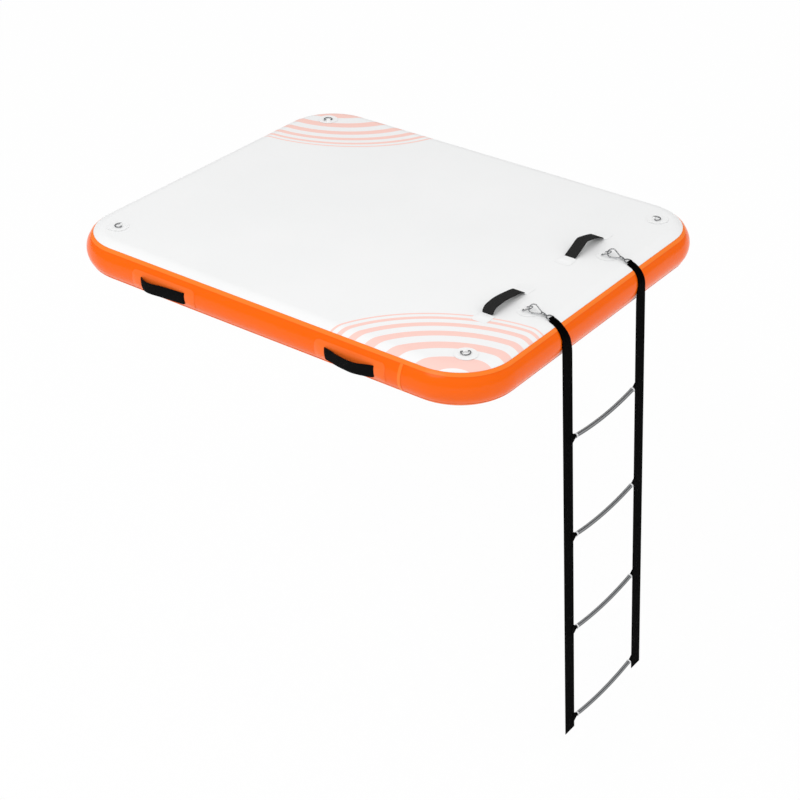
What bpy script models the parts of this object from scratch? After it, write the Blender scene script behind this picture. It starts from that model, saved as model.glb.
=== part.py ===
"""Inflatable dock platform: a drop-stitch pad with webbing handles, tie-down rings, an inflation valve and a
rope-style ladder that is clipped to two rings on the deck and hangs over one end.

Metres, +Z up. The origin is the middle of the underside, +X points to the ladder end
and -Y to the near long side.
"""

import math

import bmesh
import bpy
from mathutils import Matrix, Vector

# Pad
LENGTH = 1.83
WIDTH = 1.52
THICK = 0.15
CORNER_RADIUS = 0.23
SHEET = 0.0012
GAP = 0.0003
MERGE = 0.00001
DECK_WRAP = 36
TAPE_END = 48
WALL_START = 30
RAIL_STEP = 6
CORNER_STEPS = 6

RAIL = THICK / 2
MID = THICK / 2
FLAT_X = LENGTH / 2 - RAIL
FLAT_Y = WIDTH / 2 - RAIL
FLAT_R = CORNER_RADIUS - RAIL
WALL_R = RAIL - SHEET - GAP
SLIT_ANGLE = math.degrees(GAP / RAIL)

# Drop-stitch core
CLOTH = 0.0008
YARN_ROW = 0.0010
YARN_ROWS = 14

# Overlap strip of the rail
OVERLAP_FROM_CORNER = 0.080
OVERLAP_X = FLAT_X - FLAT_R - OVERLAP_FROM_CORNER
OVERLAP_WIDE = 0.012
OVERLAP_TO_PATCH = 0.050

# Webbing handles
WEB = 0.0018
HANDLE_WIDE = 0.044
HANDLE_TUCK = 0.032
PATCH_SKIN = 0.0008
ACROSS_STEPS = 4
SIDE_HANDLE_SPAN = 0.205
SIDE_HANDLE_RISE = 0.020
SIDE_HANDLE_ANGLE = 94.5
SIDE_PATCH_LONG = 0.290
SIDE_HANDLE_X = OVERLAP_X - OVERLAP_TO_PATCH - SIDE_PATCH_LONG / 2
SIDE_PATCH_WIDE = 0.080
SIDE_PATCH_ROUND = 0.018
BEND_FROM = 0.003
BEND_OVER = 0.017
DECK_HANDLE_INSET = 0.168
DECK_HANDLE_X = FLAT_X - DECK_HANDLE_INSET
DECK_HANDLE_Y = 0.2535
DECK_HANDLE_SPAN = 0.196
DECK_HANDLE_RISE = 0.0365
DECK_PATCH_LONG = 0.062
DECK_PATCH_WIDE = 0.062
DECK_PATCH_ROUND = 0.014

# The shapes that the two deck handles have set in, from their -Y end: shares of the span and of the rise
FLAT_SET_SHARES = (
    (0.03, 0.28), (0.088, 0.56), (0.20, 0.66), (0.333, 0.71), (0.50, 0.65), (0.637, 0.55), (0.80, 0.42),
    (0.93, 0.28), (0.985, 0.10),
)
PEAKED_SET_SHARES = (
    (0.06, 0.15), (0.185, 0.45), (0.34, 0.86), (0.40, 0.98), (0.47, 0.98), (0.64, 0.79), (0.845, 0.51),
    (0.93, 0.32), (0.985, 0.10),
)

# The shapes that the rail handles have set in, from their -X end: the low set is nearer to the -X end
LOW_SET_SHARES = (
    (0.03, 0.26), (0.09, 0.52), (0.154, 0.71), (0.232, 0.80), (0.324, 0.77), (0.417, 0.66), (0.515, 0.56),
    (0.627, 0.49), (0.744, 0.41), (0.84, 0.36), (0.93, 0.31), (0.97, 0.24),
)
ROUND_SET_SHARES = (
    (0.03, 0.24), (0.09, 0.33), (0.15, 0.42), (0.22, 0.54), (0.30, 0.70), (0.40, 0.83), (0.48, 0.90),
    (0.55, 0.96), (0.61, 0.98), (0.675, 0.92), (0.744, 0.80), (0.807, 0.65), (0.866, 0.50), (0.93, 0.34),
    (0.97, 0.24),
)

# Tie-down rings
CORNER_RING_INSET_X = 0.076
CORNER_RING_INSET_Y = 0.0795
CORNER_RING_X = FLAT_X - CORNER_RING_INSET_X
CORNER_RING_Y = FLAT_Y - CORNER_RING_INSET_Y
RING_PATCH_R = 0.040
RING_WIRE = 0.0020
RING_WIDE = 0.032
RING_DEEP = 0.030
CORNER_RING_DEEP = 0.023
RING_CORNER = 0.003
TAB_LONG = 0.016
TAB_SKIN = 0.0015
TAB_SINK = 0.0005
TAB_TONGUE = 0.020

# Ladder webbing
LADDER_Y = 0.238
HOOK_OUT = 0.012
HOOK_Y = LADDER_Y + HOOK_OUT
STRAP_WIDE = 0.060
STRAP = 0.0022
STRAP_GATHERED = 0.020
GATHER_LONG = 0.058
STRAP_TAIL = 0.026
LADDER_TILT = 3.6
RUNG_FIRST = 0.381
RUNG_PITCH = 0.403
RUNG_COUNT = 4
FOLD_BELOW = 0.030
STRAP_END = 0.045

# Rungs
RUNG_R = 0.008
RUNG_WALL = 0.002
RUNG_SAG = 0.014
RUNG_STEPS = 8
RUNG_SIDES = 8
COLLAR_R = 0.0094
COLLAR_LONG = 0.006
TONGUE_BASE = 0.037
TONGUE_NECK = 0.016
TONGUE_SHOW = 0.017
TONGUE_IN = 0.018
TONGUE_TIP = 2 * (RUNG_R * math.cos(math.pi / RUNG_SIDES) - RUNG_WALL - GAP)

# Snap hook, measured from the bar of its swivel eye
HOOK_LONG = 0.088
EYE_PAST_FLAT = 0.018
EYE_X = FLAT_X + EYE_PAST_FLAT
EYE_WIRE = 0.00225
EYE_INNER = 0.022
EYE_ARM = 0.005
EYE_CORNER = 0.003
SHANK_R = 0.0020
BORE_R = 0.0023
EYE_COLLAR_R = 0.0034
BLOCK_R = 0.0055
BLOCK_START = 0.0255
BLOCK_END = 0.0405
BORE_END = 0.0330
HOOK_WIRE = 0.00225
BOW_R = 0.0155
SPINE_ROOT = 0.0032
SPINE_EASE = 0.55
NOSE_AT = 0.0705
GATE_WIRE = 0.0020
GATE_PIVOT = 0.0380
GATE_OFFSET = 0.0025
GATE_TIP = 0.0685
GATE_TIP_OFFSET = 0.0149
SLOT_HALF = 0.0023
SLOT_START = 0.0355
PIN_R = 0.0011
PIN_HOLE_R = 0.0014
PIN_LONG = 0.0086
HOOK_TILT = 10
HOOK_ROLL = 44
CROWN_INSET = 0.0100

# Valve
VALVE_FROM_CORNER = 0.110
VALVE_Y = FLAT_Y - FLAT_R - VALVE_FROM_CORNER
VALVE_FLANGE_R = 0.031
VALVE_FLANGE = 0.003
VALVE_BODY_R = 0.017
VALVE_BORE_R = 0.0125
VALVE_DEEP = 0.030
VALVE_NUT_R = 0.027
VALVE_NUT = 0.012
SPIDER_THICK = 0.0025
SPIDER_SPOKE = 0.004
SPIDER_HUB_R = 0.005
STEM_R = 0.0024
SEAT_R = 0.0150
SEAT_THICK = 0.0025
KNOB_R = 0.0045
KNOB_THICK = 0.003
STEM_OUT = 0.014
SPRING_R = 0.0036
SPRING_WIRE = 0.0005
SPRING_TURNS = 4
CAP_R = 0.0205
CAP_THICK = 0.007
CAP_SKIRT = 0.002
CAP_LUG_WIDE = 0.012
CAP_LUG_R = 0.0030
CAP_LUG_OUT = 0.0050
EAR_WIDE = 0.004
EAR_PIN_R = 0.0012

COLOURS = {
    "deck": ((0.87, 0.87, 0.87), 0.45, 0.0),
    "rail": ((1.00, 0.16, 0.01), 0.30, 0.0),
    "tape": ((1.00, 0.22, 0.04), 0.30, 0.0),
    "cloth": ((0.75, 0.75, 0.72), 0.90, 0.0),
    "webbing": ((0.010, 0.010, 0.011), 0.85, 0.0),
    "steel": ((0.62, 0.62, 0.63), 0.22, 1.0),
    "rung": ((0.09, 0.09, 0.095), 0.55, 0.0),
    "valve": ((0.03, 0.03, 0.03), 0.40, 0.0),
}


def clear_scene():
    for obj in list(bpy.data.objects):
        bpy.data.objects.remove(obj)


def collection(name, hidden=False):
    made = bpy.data.collections.new(name)
    bpy.context.scene.collection.children.link(made)
    made.hide_render = hidden
    return made


def material(name):
    colour, roughness, metallic = COLOURS[name]
    made = bpy.data.materials.get(name) or bpy.data.materials.new(name)
    made.use_nodes = True
    shader = made.node_tree.nodes["Principled BSDF"]
    shader.inputs["Base Color"].default_value = (*colour, 1.0)
    shader.inputs["Roughness"].default_value = roughness
    shader.inputs["Metallic"].default_value = metallic
    made.diffuse_color = (*colour, 1.0)
    return made


clear_scene()
PARTS = collection("inflatable_dock_platform")
CUTTERS = collection("cutters", hidden=True)


def add_object(name, mesh, look, parent=None):
    obj = bpy.data.objects.new(name, mesh)
    PARTS.objects.link(obj)
    mesh.materials.append(material(look))
    obj.parent = parent
    return obj


def outward(bm):
    bmesh.ops.recalc_face_normals(bm, faces=bm.faces)
    if bm.calc_volume(signed=True) < 0:
        bmesh.ops.reverse_faces(bm, faces=bm.faces)


def part(name, bm, look, parent=None, smooth=35):
    outward(bm)
    mesh = bpy.data.meshes.new(name)
    bm.to_mesh(mesh)
    bm.free()
    mesh.shade_smooth()
    mesh.set_sharp_from_angle(angle=math.radians(smooth))
    return add_object(name, mesh, look, parent)


def cutter(name, bm, parent=None):
    outward(bm)
    mesh = bpy.data.meshes.new(name)
    bm.to_mesh(mesh)
    bm.free()
    obj = bpy.data.objects.new(name, mesh)
    CUTTERS.objects.link(obj)
    obj.hide_render = True
    obj.display_type = "WIRE"
    obj.parent = parent
    return obj


def boolean(obj, other, operation):
    modifier = obj.modifiers.new(operation.lower() + "_" + other.name, "BOOLEAN")
    modifier.operation = operation
    modifier.solver = "EXACT"
    modifier.object = other


def solidify(obj, thickness, offset):
    modifier = obj.modifiers.new("sheet", "SOLIDIFY")
    modifier.thickness = thickness
    modifier.offset = offset
    modifier.use_even_offset = True


def empty(name, matrix, parent=None):
    obj = bpy.data.objects.new(name, None)
    PARTS.objects.link(obj)
    obj.parent = parent
    obj.matrix_basis = matrix
    return obj


def cylinder(radius, start, end, steps=20):
    """A closed cylinder along the line from start to end."""
    bm = bmesh.new()
    start, end = Vector(start), Vector(end)
    turn = (end - start).to_track_quat("Z", "Y").to_matrix().to_4x4()
    bmesh.ops.create_cone(
        bm,
        cap_ends=True,
        segments=steps,
        radius1=radius,
        radius2=radius,
        depth=(end - start).length,
        matrix=Matrix.Translation((start + end) / 2) @ turn,
    )
    return bm


def box(low, high):
    bm = bmesh.new()
    low, high = Vector(low), Vector(high)
    size = Matrix.Diagonal((*(high - low), 1))
    bmesh.ops.create_cube(bm, size=1, matrix=Matrix.Translation((low + high) / 2) @ size)
    return bm


def tube_mesh(name, points, radius, closed=False, radii=None, sides=2, caps=True):
    """A round wire along points, as a welded mesh. sides is the bevel resolution: 2 gives eight sides."""
    curve = bpy.data.curves.new(name, "CURVE")
    curve.dimensions = "3D"
    curve.bevel_depth = radius
    curve.bevel_resolution = sides
    curve.use_fill_caps = caps and not closed
    spline = curve.splines.new("POLY")
    spline.points.add(len(points) - 1)
    for index, (spot, place) in enumerate(zip(spline.points, points)):
        spot.co = (*place, 1)
        spot.radius = radii[index] / radius if radii else 1
    spline.use_cyclic_u = closed
    guide = bpy.data.objects.new(name + "_guide", curve)
    CUTTERS.objects.link(guide)
    graph = bpy.context.evaluated_depsgraph_get()
    mesh = bpy.data.meshes.new_from_object(guide.evaluated_get(graph))
    bpy.data.objects.remove(guide)
    bm = bmesh.new()
    bm.from_mesh(mesh)
    bpy.data.meshes.remove(mesh)
    bmesh.ops.remove_doubles(bm, verts=bm.verts, dist=MERGE)
    return bm


def rounded(length, width, radius, steps=4):
    """Corner points of a rounded rectangle about the origin."""
    points = []
    for turn, (sx, sy) in enumerate([(1, 1), (-1, 1), (-1, -1), (1, -1)]):
        cx, cy = sx * (length / 2 - radius), sy * (width / 2 - radius)
        for step in range(steps + 1):
            angle = math.pi / 2 * (turn + step / steps)
            points.append((cx + radius * math.cos(angle), cy + radius * math.sin(angle)))
    return points


def slab(outline, low, high, cuts=()):
    """A flat plate with this outline between two heights, its faces divided along w = cuts."""
    bm = bmesh.new()
    bm.faces.new([bm.verts.new((s, w, low)) for s, w in outline])
    for w in cuts:
        everything = bm.verts[:] + bm.edges[:] + bm.faces[:]
        bmesh.ops.bisect_plane(bm, geom=everything, dist=MERGE, plane_co=(0, w, 0), plane_no=(0, 1, 0))
    made = bmesh.ops.extrude_face_region(bm, geom=bm.faces[:])["geom"]
    tops = [item for item in made if isinstance(item, bmesh.types.BMVert)]
    bmesh.ops.translate(bm, verts=tops, vec=(0, 0, high - low))
    return bm


def place(bm, rule):
    for vert in bm.verts:
        vert.co = rule(*vert.co)
    return bm


# The pad: one profile carried round a rounded rectangle

def rail_profile(radius, angles):
    """Points (out, z) of the half-round rail at these angles from straight up."""
    return [
        (radius * math.sin(math.radians(a)), MID + radius * math.cos(math.radians(a))) for a in angles
    ]


def carry_round(profile):
    """The surface that an open profile leaves when it goes once round the pad."""
    bm = bmesh.new()
    run_x, run_y = FLAT_X - FLAT_R, FLAT_Y - FLAT_R
    verts = [bm.verts.new((FLAT_X + out, -run_y, z)) for out, z in profile]
    edges = [bm.edges.new(pair) for pair in zip(verts, verts[1:])]
    corners = [(run_x, run_y), (-run_x, run_y), (-run_x, -run_y), (run_x, -run_y)]
    runs = [(0, 2 * run_y), (-2 * run_x, 0), (0, -2 * run_y), (2 * run_x, 0)]
    for corner, run in zip(corners, runs):
        made = bmesh.ops.extrude_edge_only(bm, edges=edges)["geom"]
        ends = [item for item in made if isinstance(item, bmesh.types.BMVert)]
        edges = [e for e in made if isinstance(e, bmesh.types.BMEdge) and set(e.verts) <= set(ends)]
        bmesh.ops.translate(bm, verts=ends, vec=(*run, 0))
        last = bmesh.ops.spin(
            bm,
            geom=ends + edges,
            cent=(*corner, 0),
            axis=(0, 0, 1),
            angle=math.pi / 2,
            steps=CORNER_STEPS,
        )["geom_last"]
        edges = [item for item in last if isinstance(item, bmesh.types.BMEdge)]
    bmesh.ops.remove_doubles(bm, verts=bm.verts, dist=MERGE)
    return bm


def face_out(bm):
    """Turns the faces so that the one furthest along +X looks along +X."""
    bm.normal_update()
    far = max(bm.faces, key=lambda face: face.calc_center_median().x)
    if far.normal.x < 0:
        bmesh.ops.reverse_faces(bm, faces=bm.faces)


def sheet_part(name, bm, look):
    bmesh.ops.recalc_face_normals(bm, faces=bm.faces)
    face_out(bm)
    mesh = bpy.data.meshes.new(name)
    bm.to_mesh(mesh)
    bm.free()
    mesh.shade_smooth()
    obj = add_object(name, mesh, look)
    solidify(obj, SHEET, -1)
    return obj


def upside_down(bm):
    for vert in bm.verts:
        vert.co.z = THICK - vert.co.z
    return bm


def deck_surface():
    bm = carry_round(rail_profile(RAIL, range(0, DECK_WRAP + 1, RAIL_STEP)))
    inner = [e for e in bm.edges if e.is_boundary and all(v.co.z > THICK - GAP for v in e.verts)]
    bmesh.ops.contextual_create(bm, geom=inner)
    return bm


def tape_surface():
    return carry_round(rail_profile(RAIL, [DECK_WRAP + SLIT_ANGLE, DECK_WRAP + RAIL_STEP, TAPE_END]))


sheet_part("deck_sheet", deck_surface(), "deck")
sheet_part("underside_sheet", upside_down(deck_surface()), "deck")
sheet_part("top_seam_tape", tape_surface(), "tape")
sheet_part("bottom_seam_tape", upside_down(tape_surface()), "tape")
WALL_ANGLES = range(WALL_START, 180 - WALL_START + 1, RAIL_STEP)
side_wall = sheet_part("side_wall", carry_round(rail_profile(WALL_R, WALL_ANGLES)), "rail")


def build_core():
    """Two base cloths and the rows of yarn between them, open at both ends."""
    top = THICK - SHEET - GAP
    low = SHEET + GAP
    pitch = 2 * FLAT_Y / (YARN_ROWS + 1)
    curve = bpy.data.curves.new("core", "CURVE")
    curve.dimensions = "2D"
    curve.fill_mode = "BOTH"
    curve.extrude = FLAT_X
    outlines = [[(-FLAT_Y, low), (FLAT_Y, low), (FLAT_Y, top), (-FLAT_Y, top)]]
    for row in range(1, YARN_ROWS):
        left = -FLAT_Y + row * pitch + YARN_ROW / 2
        right = -FLAT_Y + (row + 1) * pitch - YARN_ROW / 2
        base, roof = low + CLOTH, top - CLOTH
        outlines.append([(left, base), (left, roof), (right, roof), (right, base)])
    for first, sign in ((0, -1), (YARN_ROWS, 1)):
        edge = sign * (FLAT_Y + RAIL)
        wall = sign * (FLAT_Y - pitch + YARN_ROW / 2)
        heights = (low + CLOTH, top - CLOTH)
        outlines.append([(edge, heights[0]), (edge, heights[1]), (wall, heights[1]), (wall, heights[0])])
    for outline in outlines[:-2]:
        spline = curve.splines.new("POLY")
        spline.points.add(len(outline) - 1)
        for spot, (y, z) in zip(spline.points, outline):
            spot.co = (y, z, 0, 1)
        spline.use_cyclic_u = True
    guide = bpy.data.objects.new("core_guide", curve)
    CUTTERS.objects.link(guide)
    graph = bpy.context.evaluated_depsgraph_get()
    mesh = bpy.data.meshes.new_from_object(guide.evaluated_get(graph))
    bpy.data.objects.remove(guide)
    bm = bmesh.new()
    bm.from_mesh(mesh)
    bmesh.ops.remove_doubles(bm, verts=bm.verts, dist=MERGE)
    upright = Matrix(((0, 0, 1, 0), (1, 0, 0, 0), (0, 1, 0, 0), (0, 0, 0, 1)))
    bmesh.ops.transform(bm, matrix=upright, verts=bm.verts)
    core = part("drop_stitch_core", bm, "cloth")
    for number, outline in enumerate(outlines[-2:]):
        ys = [y for y, _ in outline]
        edge_cut = cutter(
            f"core_edge_cut_{number}",
            box((-LENGTH, min(ys), low + CLOTH), (LENGTH, max(ys), top - CLOTH)),
        )
        boolean(core, edge_cut, "DIFFERENCE")
    plan = slab(rounded(2 * FLAT_X, 2 * FLAT_Y, FLAT_R, CORNER_STEPS), -THICK, 2 * THICK)
    boolean(core, cutter("core_plan", plan), "INTERSECT")
    return core


build_core()


# Things laid on the rail of a long side: s runs along X, w down round the rail, h out from the wall

def on_wall(side, centre_x, centre_angle):
    def rule(s, w, h):
        angle = math.radians(centre_angle) + w / WALL_R
        curved = Vector((0, FLAT_Y + (WALL_R + h) * math.sin(angle), (WALL_R + h) * math.cos(angle)))
        middle = math.radians(centre_angle)
        drop = Vector((0, math.cos(middle), -math.sin(middle)))
        out = Vector((0, math.sin(middle), math.cos(middle)))
        flat = Vector((0, FLAT_Y, 0)) + out * (WALL_R + h) + drop * w
        share = min(max((h - BEND_FROM) / BEND_OVER, 0), 1)
        blended = curved.lerp(flat, share * share * (3 - 2 * share))
        return Vector((centre_x + s, side * blended.y, MID + blended.z))

    return rule


def on_deck(centre_x, centre_y):
    """s runs along Y, w along X, h up from the deck."""
    return lambda s, w, h: Vector((centre_x + w, centre_y + s, THICK + h))


def arch_path(span, rise, tuck, shares, extra=0.0):
    """Centre line (s, h) of a webbing handle: a tuck under the patch, the arch, the other tuck."""
    rest = GAP + WEB / 2
    path = [(-span / 2 - tuck - extra, rest), (-span / 2 - tuck / 2, rest)]
    path.append((-span / 2, rest))
    path += [(span * (along - 0.5), rest + rise * up) for along, up in shares]
    return path + [(span / 2, rest), (span / 2 + tuck / 2, rest), (span / 2 + tuck + extra, rest)]


def web_surface(path, wide, steps):
    """A strip of webbing along path, wide across it."""
    bm = bmesh.new()
    rows = []
    for s, h in path:
        rows.append([bm.verts.new((s, wide * (k / steps - 0.5), h)) for k in range(steps + 1)])
    for one, two in zip(rows, rows[1:]):
        for k in range(steps):
            bm.faces.new((one[k], two[k], two[k + 1], one[k + 1]))
    return bm


def web_object(name, bm, rule, thickness, as_cutter=False):
    place(bm, rule)
    obj = cutter(name, bm) if as_cutter else part(name, bm, "webbing")
    solidify(obj, thickness, 0)
    return obj


def build_handle(name, rule, span, rise, patches, shares):
    """patches: (name, centre s, length, width, corner radius, look). shares: the shape that it has set in."""
    path = arch_path(span, rise, HANDLE_TUCK, shares)
    web_object(name, web_surface(path, HANDLE_WIDE, ACROSS_STEPS), rule, WEB)
    room_path = arch_path(span, rise, HANDLE_TUCK, shares, extra=GAP)
    room_bm = web_surface(room_path, HANDLE_WIDE + 2 * GAP, ACROSS_STEPS)
    room = web_object(name + "_room", room_bm, rule, WEB + 2 * GAP, as_cutter=True)
    top = GAP + WEB + GAP + PATCH_SKIN
    for patch_name, centre, long, wide, radius, look in patches:
        rows = 7
        cuts = [wide * (k / rows - 0.5) for k in range(1, rows)]
        outline = [(s + centre, w) for s, w in rounded(long, wide, radius)]
        patch = part(patch_name, place(slab(outline, GAP, top, cuts), rule), look)
        boolean(patch, room, "DIFFERENCE")


SIDE_SPOTS = [(-1, -SIDE_HANDLE_X), (-1, SIDE_HANDLE_X), (1, -SIDE_HANDLE_X), (1, SIDE_HANDLE_X)]
for number, (side, centre_x) in enumerate(SIDE_SPOTS, 1):
    build_handle(
        f"side_handle_{number}",
        on_wall(side, centre_x, SIDE_HANDLE_ANGLE),
        SIDE_HANDLE_SPAN,
        SIDE_HANDLE_RISE,
        [(f"side_patch_{number}", 0, SIDE_PATCH_LONG, SIDE_PATCH_WIDE, SIDE_PATCH_ROUND, "rail")],
        LOW_SET_SHARES if centre_x < 0 else ROUND_SET_SHARES,
    )

PATCH_OFFSET = DECK_HANDLE_SPAN / 2 + DECK_PATCH_LONG / 2 - HANDLE_WIDE / 8
for number, sign, handle_shares in ((1, -1, FLAT_SET_SHARES), (2, 1, PEAKED_SET_SHARES)):
    build_handle(
        f"deck_handle_{number}",
        on_deck(DECK_HANDLE_X, sign * DECK_HANDLE_Y),
        DECK_HANDLE_SPAN,
        DECK_HANDLE_RISE,
        [
            (f"deck_patch_{number}{mark}", end * PATCH_OFFSET, DECK_PATCH_LONG, DECK_PATCH_WIDE,
             DECK_PATCH_ROUND, "deck")
            for mark, end in (("a", -1), ("b", 1))
        ],
        handle_shares,
    )

STRIP_LONG = math.radians(180 - 2 * TAPE_END) * WALL_R - 2 * GAP
STRIP_CUTS = [STRIP_LONG * (k / 10 - 0.5) for k in range(1, 10)]
strip = slab(rounded(OVERLAP_WIDE, STRIP_LONG, GAP, 1), GAP, GAP + SHEET, STRIP_CUTS)
part("wall_overlap_strip", place(strip, on_wall(-1, OVERLAP_X + OVERLAP_WIDE / 2, 90)), "tape")


# Rings on their patches

PATCH_TOP = THICK + GAP + SHEET
TAB_R = RING_WIRE + GAP + TAB_SKIN
BAR_HEIGHT = PATCH_TOP + TAB_R - TAB_SINK


def ring_points(wide, deep, corner, arc_steps=12, corner_steps=3):
    """Centre line of a D: the bar lies on the Y axis, the crown is deep along +X."""
    half = wide / 2
    points = []
    for sign, start in ((-1, math.pi), (1, math.pi / 2)):
        for step in range(corner_steps + 1):
            angle = start + sign * math.pi / 2 * step / corner_steps
            if sign < 0:
                points.append((corner + corner * math.cos(angle), half - corner + corner * math.sin(angle), 0))
    for step in range(1, arc_steps):
        angle = math.pi / 2 - math.pi * step / arc_steps
        points.append((deep - half + half * math.cos(angle), half * math.sin(angle), 0))
    mirrored = [(x, -y, z) for x, y, z in points[: corner_steps + 1]]
    return points + mirrored[::-1]


def build_ring(kind, number, x, y, heading, tilt, deep=RING_DEEP):
    """A round patch with a tab, and the ring that hinges in it. heading turns the ring's crown about +Z."""
    patch_name = f"{kind}_patch_{number}"
    turn = Matrix.Rotation(math.radians(heading), 4, "Z")
    spot = Matrix.Translation((x, y, 0)) @ turn
    centre = deep / 2
    outline = rounded(2 * RING_PATCH_R, 2 * RING_PATCH_R, RING_PATCH_R, 6)[:-1]
    disc = slab([(centre + s, w) for s, w in outline], THICK + GAP, PATCH_TOP)
    patch = part(patch_name, disc, "deck")
    patch.matrix_basis = spot
    roll = cylinder(TAB_R, (0, -TAB_LONG / 2, BAR_HEIGHT), (0, TAB_LONG / 2, BAR_HEIGHT), 16)
    tab = cutter(patch_name + "_tab", roll)
    low = (-TAB_TONGUE, -TAB_LONG / 2 + GAP, PATCH_TOP - TAB_SINK)
    tongue = cutter(patch_name + "_tongue", box(low, (0, TAB_LONG / 2 - GAP, PATCH_TOP + TAB_SKIN)))
    bore = cutter(
        patch_name + "_bore",
        cylinder(RING_WIRE + GAP, (0, -TAB_LONG, BAR_HEIGHT), (0, TAB_LONG, BAR_HEIGHT), 12),
    )
    for helper, operation in ((tab, "UNION"), (tongue, "UNION"), (bore, "DIFFERENCE")):
        helper.matrix_basis = spot
        boolean(patch, helper, operation)
    pivot = empty(
        f"{kind}_ring_{number}_pivot",
        Matrix.Translation((x, y, BAR_HEIGHT)) @ turn @ Matrix.Rotation(-math.radians(tilt), 4, "Y"),
    )
    ring = tube_mesh("ring", ring_points(RING_WIDE, deep, RING_CORNER), RING_WIRE, closed=True)
    part(f"{kind}_ring_{number}", ring, "steel", pivot, 60)


LIE_DOWN = -math.degrees(math.asin((BAR_HEIGHT - PATCH_TOP - RING_WIRE - GAP) / CORNER_RING_DEEP))
CORNER_SPOTS = [(1, -1), (1, 1), (-1, 1), (-1, -1)]
for number, (sx, sy) in enumerate(CORNER_SPOTS, 1):
    to_corner = math.atan2(sy, sx)
    bar_x = sx * CORNER_RING_X - CORNER_RING_DEEP / 2 * math.cos(to_corner)
    bar_y = sy * CORNER_RING_Y - CORNER_RING_DEEP / 2 * math.sin(to_corner)
    build_ring("corner", number, bar_x, bar_y, math.degrees(to_corner), LIE_DOWN, CORNER_RING_DEEP)


# Ladder: hook, eye and strap of each side

EYE_RISE = RAIL + GAP + STRAP + GAP + EYE_WIRE
EYE_Z = MID + math.sqrt(EYE_RISE ** 2 - EYE_PAST_FLAT ** 2)
TILT = math.radians(HOOK_TILT)
CROWN_X = EYE_X - (HOOK_LONG - CROWN_INSET) * math.cos(TILT)
CROWN_Z = EYE_Z + (HOOK_LONG - CROWN_INSET) * math.sin(TILT)
RING_TILT = math.degrees(math.asin((CROWN_Z - BAR_HEIGHT) / RING_DEEP))
LADDER_RING_X = CROWN_X - RING_DEEP * math.cos(math.radians(RING_TILT))


def hook_wire():
    """The hook's wire in its own plane: nose, bow, spine and root."""
    bow = HOOK_LONG - BOW_R
    points = [(NOSE_AT, BOW_R - (bow - NOSE_AT) * (BOW_R - GATE_TIP_OFFSET) / (bow - GATE_TIP), 0)]
    for step in range(11):
        angle = math.pi / 2 - math.pi * step / 10
        points.append((bow + BOW_R * math.cos(angle), BOW_R * math.sin(angle), 0))
    root = BLOCK_END - HOOK_WIRE
    for step in range(1, 7):
        share = step / 6
        ease = share * share * (3 - 2 * share)
        offset = -BOW_R + (BOW_R - SPINE_ROOT) * (SPINE_EASE * ease + (1 - SPINE_EASE) * share)
        points.append((bow + (root - bow) * share, offset, 0))
    return points


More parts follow.
